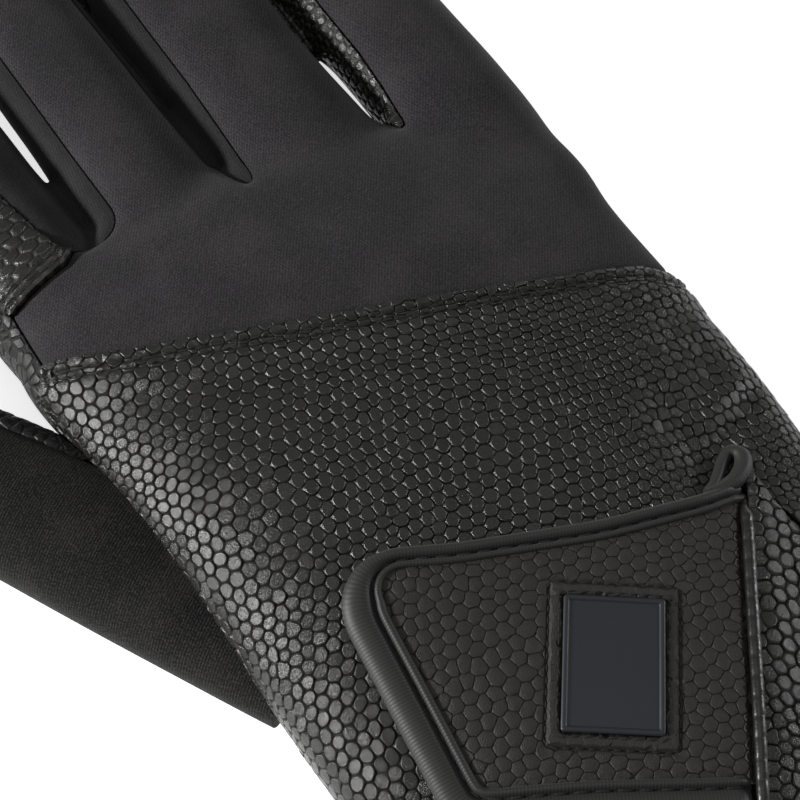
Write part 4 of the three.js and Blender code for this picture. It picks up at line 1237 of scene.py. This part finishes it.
def windowLine(outside, round=0.8):      # a rounded rectangle round the badge, closed
    w, h, made = badge["width"] / 2 + outside, badge["height"] / 2 + outside, []
    for cx, cy, start in ((w - round, h - round, 0), (round - w, h - round, 1), (round - w, round - h, 2), (w - round, round - h, 3)):
        made += [(cx + round * math.cos(math.pi / 2 * (start + k / 3)), cy + round * math.sin(math.pi / 2 * (start + k / 3)))
                 for k in range(4)]
    p = densified(made + made[:1], 1.0)
    return badgeMiddle + np.stack([p[:, 0] * math.cos(badgeSpin) - p[:, 1] * math.sin(badgeSpin),
                                   p[:, 0] * math.sin(badgeSpin) + p[:, 1] * math.cos(badgeSpin)], -1)


embossedPanel("strap_leather", strapLoop, strap, strapRise, lambda uv: np.full(len(uv), strap["low height"]),
              mattLeather, ("closure_strap",), 31, None, strapSoften,
              [windowLine(badge["margin"])])
print("embossed leather ready")


# A closed tube from rings of points, with a UV map that runs along it
def finishSweep(name, rings, material, nodes, sharp=60):
    points, faces = tube(rings)
    a, b, c = (points[np.array([f[k] for f in faces])] for k in range(3))
    signed = float((a * np.cross(b, c)).sum())
    if signed < 0:
        faces = [f[::-1] for f in faces]
    piece = addPiece(name, points, faces, material, nodes, None, sharp)
    count, sides = rings.shape[:2]
    middle = rings.mean(1)
    length = np.concatenate([[0], np.cumsum(np.linalg.norm(np.diff(middle, axis=0), axis=1))]) * 0.001
    across = np.concatenate([np.repeat(length, sides), length[[0, -1]]])
    layer = piece.data.uv_layers.new(name="along")
    loops = np.zeros(len(piece.data.loops), np.int32)
    piece.data.loops.foreach_get("vertex_index", loops)
    uv = np.stack([across[loops], loops * 0.0], -1)
    layer.data.foreach_set("uv", uv.astype(np.float32).ravel())
    return piece


# across from the outer edge as a share of the width, height over the back
bindingProfile = np.array([
    (0.14, 0.3), (0.045, 0.5), (0.0, 0.95), (0.0, 1.5), (0.045, 2.1), (0.135, 2.58), (0.26, 2.84), (0.39, 2.82), (0.51, 2.56),
    (0.6, 2.14), (0.645, 1.74), (0.675, 1.62), (0.705, 1.85), (0.74, 2.25), (0.795, 2.52), (0.865, 2.58), (0.93, 2.44),
    (0.98, 2.12), (1.0, 1.75), (0.99, 1.3), (0.955, 0.3),
])
path = toBack(bindingLine)
across = besideLine(path)
across *= np.sign((across * inward).sum(1))[:, None]
share = bindingProfile[None, :, 0]
share = np.where(share < 0.675, share / 0.675 * bindingGroove[:, None],
                 1 - (1 - share) / 0.325 * (1 - bindingGroove[:, None])) * bindingWidth[:, None]
ringUv = path[:, None] + across[:, None] * share[..., None]
tuck = 1 - 0.42 * smoothStep(besideValue(bindingLine), -2.2, 0)      # its ends go under the side panel's welt
bindingHeight = 0.3 + (bindingProfile[None, :, 1] - 0.3) * tuck[:, None] * (0.86 + 0.14 * (bindingWidth / binding["wide"]))[:, None]
bindingRings = onBack(ringUv[..., 0], ringUv[..., 1], bindingHeight)
finishSweep("strap_binding_tape", bindingRings, tape, ("strap_binding",))

# The tape's loop round the top of the slit: x and y in plan, height over the back, radius
loop = {"sides": 18, "steps": 70}
loopTable = np.array([
    (24.2, 52.4, 1.2, 0.95), (26.4, 51.9, 1.5, 1.1), (28.8, 51.8, 1.75, 1.28), (30.7, 52.3, 1.9, 1.36), (32.2, 53.2, 1.95, 1.38),
    (33.1, 54.5, 1.9, 1.3), (33.1, 55.7, 1.75, 1.12), (32.1, 56.4, 1.6, 0.98), (30.6, 56.0, 1.45, 0.92), (29.2, 55.1, 1.35, 0.9),
    (27.8, 54.1, 1.3, 0.88), (26.4, 53.2, 1.25, 0.88), (25.0, 52.7, 1.2, 0.88),
])


def splined(points, count):
    points = np.asarray(points, float)
    key = np.arange(len(points))
    at = np.linspace(0, len(points) - 1, count)
    return np.stack([column(np.stack([key, points[:, k]], -1), 1, at) for k in range(points.shape[1])], -1)


loopRun = splined(np.column_stack([toBack(loopTable[:, :2]), loopTable[:, 2:]]), loop["steps"])
loopLine = onBack(loopRun[:, 0], loopRun[:, 1], loopRun[:, 2])
tangent = np.gradient(loopLine, axis=0)
tangent /= np.linalg.norm(tangent, axis=1)[:, None]
sideways = np.cross(tangent, (0, 0, 1.0))
sideways /= np.linalg.norm(sideways, axis=1)[:, None]
upwards = np.cross(sideways, tangent)
turns = np.linspace(0, 2 * math.pi, loop["sides"], endpoint=False)
loopRings = (loopLine[:, None] + loopRun[:, None, 3:] * (sideways[:, None] * np.cos(turns)[None, :, None]
                                                         + upwards[:, None] * np.sin(turns)[None, :, None] * 1.1))
finishSweep("slit_loop_tape", loopRings, tape, ("slit_loop",))

# The badge: a plain rubber tab with a raised rim
def badgeRings():
    corner, rings = badge["round"], []
    for inset, height in ((0.0, 1.7), (0.0, badge["top"]), (0.1, badge["top"] + badge["rim"] - 0.07), (0.25, badge["top"] + badge["rim"]),
                          (badge["rimWidth"] - 0.2, badge["top"] + badge["rim"]), (badge["rimWidth"], badge["top"] + badge["rim"] - 0.1),
                          (badge["rimWidth"] + 0.12, badge["top"] - 0.05), (2.6, badge["top"] - 0.05)):
        w, h, r = badge["width"] / 2 - inset, badge["height"] / 2 - inset, max(corner - inset, 0.15)
        ringPoints = []
        for cx, cy, start in ((w - r, h - r, 0), (r - w, h - r, 1), (r - w, r - h, 2), (w - r, r - h, 3)):
            for k in range(7):
                turn = math.pi / 2 * (start + k / 6)
                ringPoints.append((cx + r * math.cos(turn), cy + r * math.sin(turn)))
            a, b = ringPoints[-1], None
            following = {0: (r - w, h), 1: (-w, r - h), 2: (w - r, -h), 3: (w, h - r)}[start]
            ringPoints += [(a[0] + (following[0] - a[0]) * t / 8, a[1] + (following[1] - a[1]) * t / 8) for t in range(1, 8)]
        p = np.array(ringPoints)
        uv = badgeMiddle + np.stack([p[:, 0] * math.cos(badgeSpin) - p[:, 1] * math.sin(badgeSpin),
                                     p[:, 0] * math.sin(badgeSpin) + p[:, 1] * math.cos(badgeSpin)], -1)
        rings.append(onBack(uv[:, 0], uv[:, 1], np.full(len(uv), height)))
    return np.stack(rings)


finishSweep("badge_rubber", badgeRings(), rubber, ("badge",), 35)

# The welt that closes the side panel over the strap's root: x across from the root line, height
welt = {"pucker": 0.13, "pitch": 2.9, "step": 0.35}
weltProfile = np.array([(0.0, 1.5), (-0.08, 1.9), (0.04, 2.35), (0.36, 2.68), (0.85, 2.82), (1.34, 2.7), (1.72, 2.4), (1.86, 2.0), (1.8, 1.5)])
weltLine = evenly(toBack(densified([besideRoot(-0.6, 0), besideRoot(rootLength + 0.8, 0)], 1.0)), welt["step"])
weltStep = besideLine(weltLine)
weltStep *= np.sign(weltStep[:, 0])[:, None]
weltRun = np.arange(len(weltLine)) * welt["step"]
pucker = welt["pucker"] * np.exp(-((((weltRun + welt["pitch"] / 2) % welt["pitch"] - welt["pitch"] / 2) / 0.4) ** 2))
weltEnds = 0.75 * (1 - smoothStep(weltRun, 0, 2.2))
weltHeight = weltProfile[None, :, 1] - (pucker + weltEnds)[:, None] * (weltProfile[None, :, 1] > 1.6)
weltUv = weltLine[:, None] + weltStep[:, None] * weltProfile[None, :, :1]
finishSweep("side_welt_leather", onBack(weltUv[..., 0], weltUv[..., 1], weltHeight), weltLeather, ())
print("strap trim ready")


# The thumb, a tube of its own, cut where it meets the hand and along its two seams
thumb = {"rootX": -0.33 * knuckleWidth, "rootY": 0.455 * handLength, "width": 33.0, "height": 16.5, "reach": 108.0,
         "angle": math.radians(26), "seamHeight": 0.47, "seamSlope": 0.92, "rows": 190, "sides": 128}


def thumbRings():
    shares = np.concatenate([np.linspace(0.02, 0.9, thumb["rows"] - 40), 0.9 + 0.1 * np.sin(np.linspace(0.04, 1, 40) * math.pi / 2)])
    turns = np.linspace(0, 2 * math.pi, thumb["sides"], endpoint=False)
    rings = []
    for share in shares:
        reach, bend = share * thumb["reach"], column(thumbTable, 3, share) * thumb["width"]
        x = thumb["rootX"] - math.sin(thumb["angle"]) * reach - math.cos(thumb["angle"]) * bend
        y = thumb["rootY"] + math.cos(thumb["angle"]) * reach - math.sin(thumb["angle"]) * bend
        rings.append(digitPoints(x, y, column(thumbTable, 1, share) * thumb["width"] / 2,
                                 column(thumbTable, 2, share) * thumb["height"], turns, thumb["angle"]))
    return np.stack(rings)


def handOutside(points):      # roughly the distance from the hand's skin, above 0 outside
    x, y, z = points.T
    along = y / handLength
    for _ in range(3):
        along = (y - webShift(x, along)) / handLength
    middleX, halfWidth, height, lift = handSection(np.clip(along, 0, 1))
    half = (height + glove["restFlat"]) / 2
    across = (x - middleX) / halfWidth
    up = (z - lift + glove["restFlat"] - half) / half
    up = np.where(up > 0, up / (1 - glove["topTilt"] * np.clip(across, -1, 1)), up)
    p = glove["handPower"]
    return ((np.abs(across) ** p + np.abs(up) ** p) ** (1 / p) - 1) * half


def thumbSeam(points):      # above 0 over the seams' plane
    x, y, z = points[:, 0] - thumb["rootX"], points[:, 1] - thumb["rootY"], points[:, 2]
    reach = -x * math.sin(thumb["angle"]) + y * math.cos(thumb["angle"])
    bend = column(thumbTable, 3, reach / thumb["reach"]) * thumb["width"]
    across = x * math.cos(thumb["angle"]) + y * math.sin(thumb["angle"]) + bend
    slope = np.where(across > 0, thumb["seamSlope"], 0.42)
    return z - thumb["seamHeight"] * thumb["height"] - across * slope


thumbPoints, thumbFaces = tube(thumbRings())
thumbTris = np.array([t for f in thumbFaces for t in ([f] if len(f) == 3 else [[f[0], f[1], f[2]], [f[0], f[2], f[3]]])])
a, b, c = (thumbPoints[thumbTris[:, k]] for k in range(3))
if float((a * np.cross(b, c)).sum()) < 0:
    thumbTris = thumbTris[:, ::-1]
thumbSkin = (thumbPoints, thumbTris, pointNormals(thumbPoints, thumbTris))
skinPanel("thumb_knit", lambda p: np.minimum(handOutside(p), thumbSeam(p) - halfSeam), thumbKnit,
          "thumb_back", press=0.35, shoulder=0.7, source=thumbSkin)
thumbUnroll = lambda p: np.stack([(p[:, 0] + p[:, 2]) * 0.9, p[:, 1]], -1)
skinPanel("thumb_leather", lambda p: np.minimum(handOutside(p), -thumbSeam(p) - halfSeam), palmLeather,
          "thumb_front", press=0.35, shoulder=0.6, source=thumbSkin, relief=scaleRelief(thumbUnroll, 2.0, 0.2))
print("thumb ready")

# The hem's tape, a band round the wrist that is open at the slit
hem = {"swell": 0.7, "round": 0.5, "step": 1.0}
hemProfile = [(0.9, 0.35), (0.35, 0.75), (0.0, 0.2), (-0.05, -0.5), (0.5, -1.2), (2.5, -1.3), (4.5, -1.25), (4.95, -0.9),
              (4.98, 0.1), (4.6, 0.55), (3.9, 0.7), (3.3, 0.3), (2.9, 0.7), (2.0, 0.75)]


def hemRings():
    turns = np.radians(np.arange(0, 360, 1.0))
    base = handPoints(np.full(turns.shape, 0.01), turns)
    order = np.argsort(np.where(base[:, 2] > 10, base[:, 0], 1e9))
    start = int(np.argmin(np.abs(base[:, 0] + 0.2) + np.where(base[:, 2] > 10, 0, 1e9)))
    stop = int(np.argmin(np.abs(base[:, 0] + 2.2) + np.where(base[:, 2] > 10, 0, 1e9)))
    count = 330
    angles = np.linspace(turns[start], turns[stop] - 2 * math.pi, count)
    rings = []
    for along, out in hemProfile:
        p = handPoints(np.full(count, along / handLength), angles)
        q = handPoints(np.full(count, along / handLength), angles, 1.0)
        n = q - p
        n /= np.maximum(np.linalg.norm(n, axis=1), 1e-6)[:, None]
        flatSide = p[:, 2] <= 0.01
        moved = p + n * out
        moved[:, 2] = np.where(flatSide, np.maximum(0, -out + 0.0), np.maximum(moved[:, 2], 0))
        rings.append(moved)
    return np.stack(rings, 1)


finishSweep("wrist_hem_tape", hemRings(), tape, ("wrist_hem",))
print("hem ready")


# Stitches: threads laid along rows, by Geometry Nodes
stitching = {"cuffSpacing": 2.7, "cuffLength": 2.0, "tapeSpacing": 2.95, "tapeLength": 2.3, "windowSpacing": 1.75,
             "windowLength": 1.3, "thick": 0.34, "seed": 5}


def makeStitchTree():
    tree = bpy.data.node_groups.new("stitches", "GeometryNodeTree")
    tree.interface.new_socket("Geometry", in_out="OUTPUT", socket_type="NodeSocketGeometry")
    for label, kind in (("Geometry", "Geometry"), ("Spacing", "Float"), ("Length", "Float"), ("Width", "Float"),
                        ("Seed", "Int"), ("Thread", "Material")):
        tree.interface.new_socket(label, in_out="INPUT", socket_type="NodeSocket" + kind)
    nodes, links = tree.nodes, tree.links
    given = nodes.new("NodeGroupInput").outputs
    curve, resample = nodes.new("GeometryNodeMeshToCurve"), nodes.new("GeometryNodeResampleCurve")
    resample.mode = "LENGTH"
    links.new(given["Geometry"], curve.inputs["Mesh"])
    links.new(curve.outputs["Curve"], resample.inputs["Curve"])
    links.new(given["Spacing"], resample.inputs["Length"])
    ball = nodes.new("GeometryNodeMeshUVSphere")
    ball.inputs["Segments"].default_value, ball.inputs["Rings"].default_value, ball.inputs["Radius"].default_value = 8, 6, 0.5
    turn = nodes.new("FunctionNodeAlignRotationToVector")
    turn.axis = "X"
    links.new(nodes.new("GeometryNodeInputTangent").outputs[0], turn.inputs["Vector"])
    vary = addNode(nodes, "FunctionNodeRandomValue", {"data_type": "FLOAT"})
    low, high = [socket for socket in vary.inputs if socket.type == "VALUE" and socket.enabled][:2]
    low.default_value, high.default_value = 0.88, 1.06
    links.new(given["Seed"], vary.inputs["Seed"])
    long = arithmetic(nodes, links, "MULTIPLY", given["Length"], [o for o in vary.outputs if o.enabled][0])
    size = nodes.new("ShaderNodeCombineXYZ")
    for source, socket in zip((long, given["Width"], arithmetic(nodes, links, "MULTIPLY", given["Width"], 0.8)), size.inputs):
        links.new(source, socket)
    place = nodes.new("GeometryNodeInstanceOnPoints")
    for source, socket in ((resample.outputs["Curve"], "Points"), (ball.outputs["Mesh"], "Instance"),
                           (turn.outputs["Rotation"], "Rotation"), (size.outputs[0], "Scale")):
        links.new(source, place.inputs[socket])
    real, smooth, finish = (nodes.new(kind) for kind in ("GeometryNodeRealizeInstances", "GeometryNodeSetShadeSmooth",
                                                         "GeometryNodeSetMaterial"))
    links.new(place.outputs["Instances"], real.inputs["Geometry"])
    links.new(real.outputs["Geometry"], smooth.inputs["Geometry"])
    links.new(smooth.outputs["Geometry"], finish.inputs["Geometry"])
    links.new(given["Thread"], finish.inputs["Material"])
    links.new(finish.outputs["Geometry"], nodes.new("NodeGroupOutput").inputs[0])
    return tree


stitchTree = makeStitchTree()


def stitched(name, lines, spacing, length, width=stitching["thick"]):
    points, ends = [], []
    for line in lines:
        ends += [(len(points) + k, len(points) + k + 1) for k in range(len(line) - 1)]
        points += ((np.asarray(line) + (glove["originX"], glove["originY"], 0)) * 0.001).tolist()
    mesh = bpy.data.meshes.new(name)
    mesh.from_pydata(points, ends, [])
    rows = bpy.data.objects.new(name, mesh)
    bpy.context.scene.collection.objects.link(rows)
    modifier = rows.modifiers.new("stitches", "NODES")
    modifier.node_group = stitchTree
    sockets = {s.name: s.identifier for s in stitchTree.interface.items_tree if s.in_out == "INPUT"}
    for label, value in (("Spacing", spacing * 0.001), ("Length", length * 0.001), ("Width", width * 0.001),
                         ("Seed", stitching["seed"]), ("Thread", thread)):
        modifier[sockets[label]] = value
    laid = evaluated(rows, name)
    bpy.data.objects.remove(rows)
    piece = bpy.data.objects.new(name, laid)
    bpy.context.scene.collection.objects.link(piece)
    if not laid.materials:
        laid.materials.append(thread)
    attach(piece, root)
    print(f"{name}: {sum(len(p.vertices) - 2 for p in laid.polygons)} triangles")


def laidOn(uv, height):
    return onBack(uv[:, 0], uv[:, 1], height)


def droppedOn(piece, plan, height=0.05):      # plan points let down on the top of a piece
    co = np.zeros(len(piece.data.vertices) * 3)
    piece.data.vertices.foreach_get("co", co)
    co = co.reshape(-1, 3) * 1000 - (glove["originX"], glove["originY"], 0)
    tree = bvhtree.BVHTree.FromPolygons(co.tolist(), [list(p.vertices) for p in piece.data.polygons])
    made = []
    for x, y in plan:
        hit = tree.ray_cast(Vector((x, y, 60)), Vector((0, 0, -1)))
        if hit[0] is not None:
            made.append(np.array(hit[0]) + np.array(hit[1]) * height)
    return np.array(made)


grooveLine = path + across * (bindingGroove * bindingWidth)[:, None]
stitched("cuff_stitches", [laidOn(row, cuffRise(row) - 0.05) for row in cuffRows], stitching["cuffSpacing"], stitching["cuffLength"])
stitched("tape_stitches", [laidOn(grooveLine[3:-4], 1.76 * tuck[3:-4])], stitching["tapeSpacing"], stitching["tapeLength"], 0.46)
stitched("window_stitches", [laidOn(row, strapRise(row) + h) for row, h in
                             ((windowLine(badge["margin"]), 0.12), (windowLine(0.55, 0.4), 0.05))],
         stitching["windowSpacing"], stitching["windowLength"])
hemEdge = densified([(-44, indexStart), (seamPoint(index, 0, -1)[0], indexStart), indexOutline[2], indexOutline[3]], 0.6)
hemStep = besideLine(hemEdge)
indexRows = [droppedOn(indexLeather, (hemEdge + hemStep * d)[2:-3], 0.02) for d in indexHem["rows"]]
stitched("index_stitches", [row for row in indexRows if len(row) > 3], 2.4, 1.8)
print("stitches ready")


# Floor, light and camera
stage = {"floor": 4.0, "glow": 0.72, "key": 11.0, "fill": 2.2, "top": 1.2, "world": 0.265}
camera = {"azimuth": -34.0, "elevation": 64.0, "distance": 0.33, "lens": 100.0, "target": (0.014377, -0.022012, 0.022)}


def makeStage():
    half = stage["floor"] / 2
    mesh = bpy.data.meshes.new("floor")
    mesh.from_pydata([(-half, -half, 0), (half, -half, 0), (half, half, 0), (-half, half, 0)], [], [(0, 1, 2, 3)])
    floor = bpy.data.objects.new("floor", mesh)
    bpy.context.scene.collection.objects.link(floor)
    material, nodes, links, shader = newMaterial("pale floor")
    place = addNode(nodes, "ShaderNodeTexCoord").outputs["Object"]
    links.new(mixColour(nodes, links, noiseNode(nodes, links, place, 0.4), (0.8, 0.8, 0.8), (0.83, 0.83, 0.83)),
              shader.inputs["Base Color"])
    shader.inputs["Emission Color"].default_value = (1, 1, 1, 1)      # a light table, so the shadows stay faint
    shader.inputs["Emission Strength"].default_value = stage["glow"]
    shader.inputs["Roughness"].default_value = 0.9
    mesh.materials.append(material)
    floor.location.z = -0.0003


def addLight(name, direction, distance, size, power, target=camera["target"]):
    light = bpy.data.lights.new(name, "AREA")
    light.shape, light.size, light.energy = "DISK", size, power
    holder = bpy.data.objects.new(name, light)
    bpy.context.scene.collection.objects.link(holder)
    d = Vector(direction).normalized()
    holder.location = Vector(target) + d * distance
    holder.rotation_euler = (-d).to_track_quat("-Z", "Y").to_euler()


makeStage()
addLight("key", (-0.82, 0.42, 0.33), 0.9, 0.15, stage["key"])
addLight("fill", (0.93, -0.25, 0.3), 0.9, 0.16, stage["fill"])
addLight("top", (-0.1, 0.1, 1), 1.0, 0.9, stage["top"])
world = bpy.data.worlds.new("studio")
world.use_nodes = True
world.node_tree.nodes["Background"].inputs[0].default_value = (1, 1, 1, 1)
world.node_tree.nodes["Background"].inputs[1].default_value = stage["world"]
bpy.context.scene.world = world
bpy.context.scene.view_settings.view_transform = "Standard"

view = bpy.data.objects.new("camera", bpy.data.cameras.new("camera"))
bpy.context.scene.collection.objects.link(view)
view.data.lens, view.data.sensor_width = camera["lens"], 36
view.data.clip_start, view.data.clip_end = 0.01, 20
a, e = math.radians(camera["azimuth"]), math.radians(camera["elevation"])
back = Vector((math.sin(a) * math.cos(e), -math.cos(a) * math.cos(e), math.sin(e)))
view.location = Vector(camera["target"]) + back * camera["distance"]
view.rotation_euler = (-back).to_track_quat("-Z", "Y").to_euler()
bpy.context.scene.camera = view

print("stage ready")
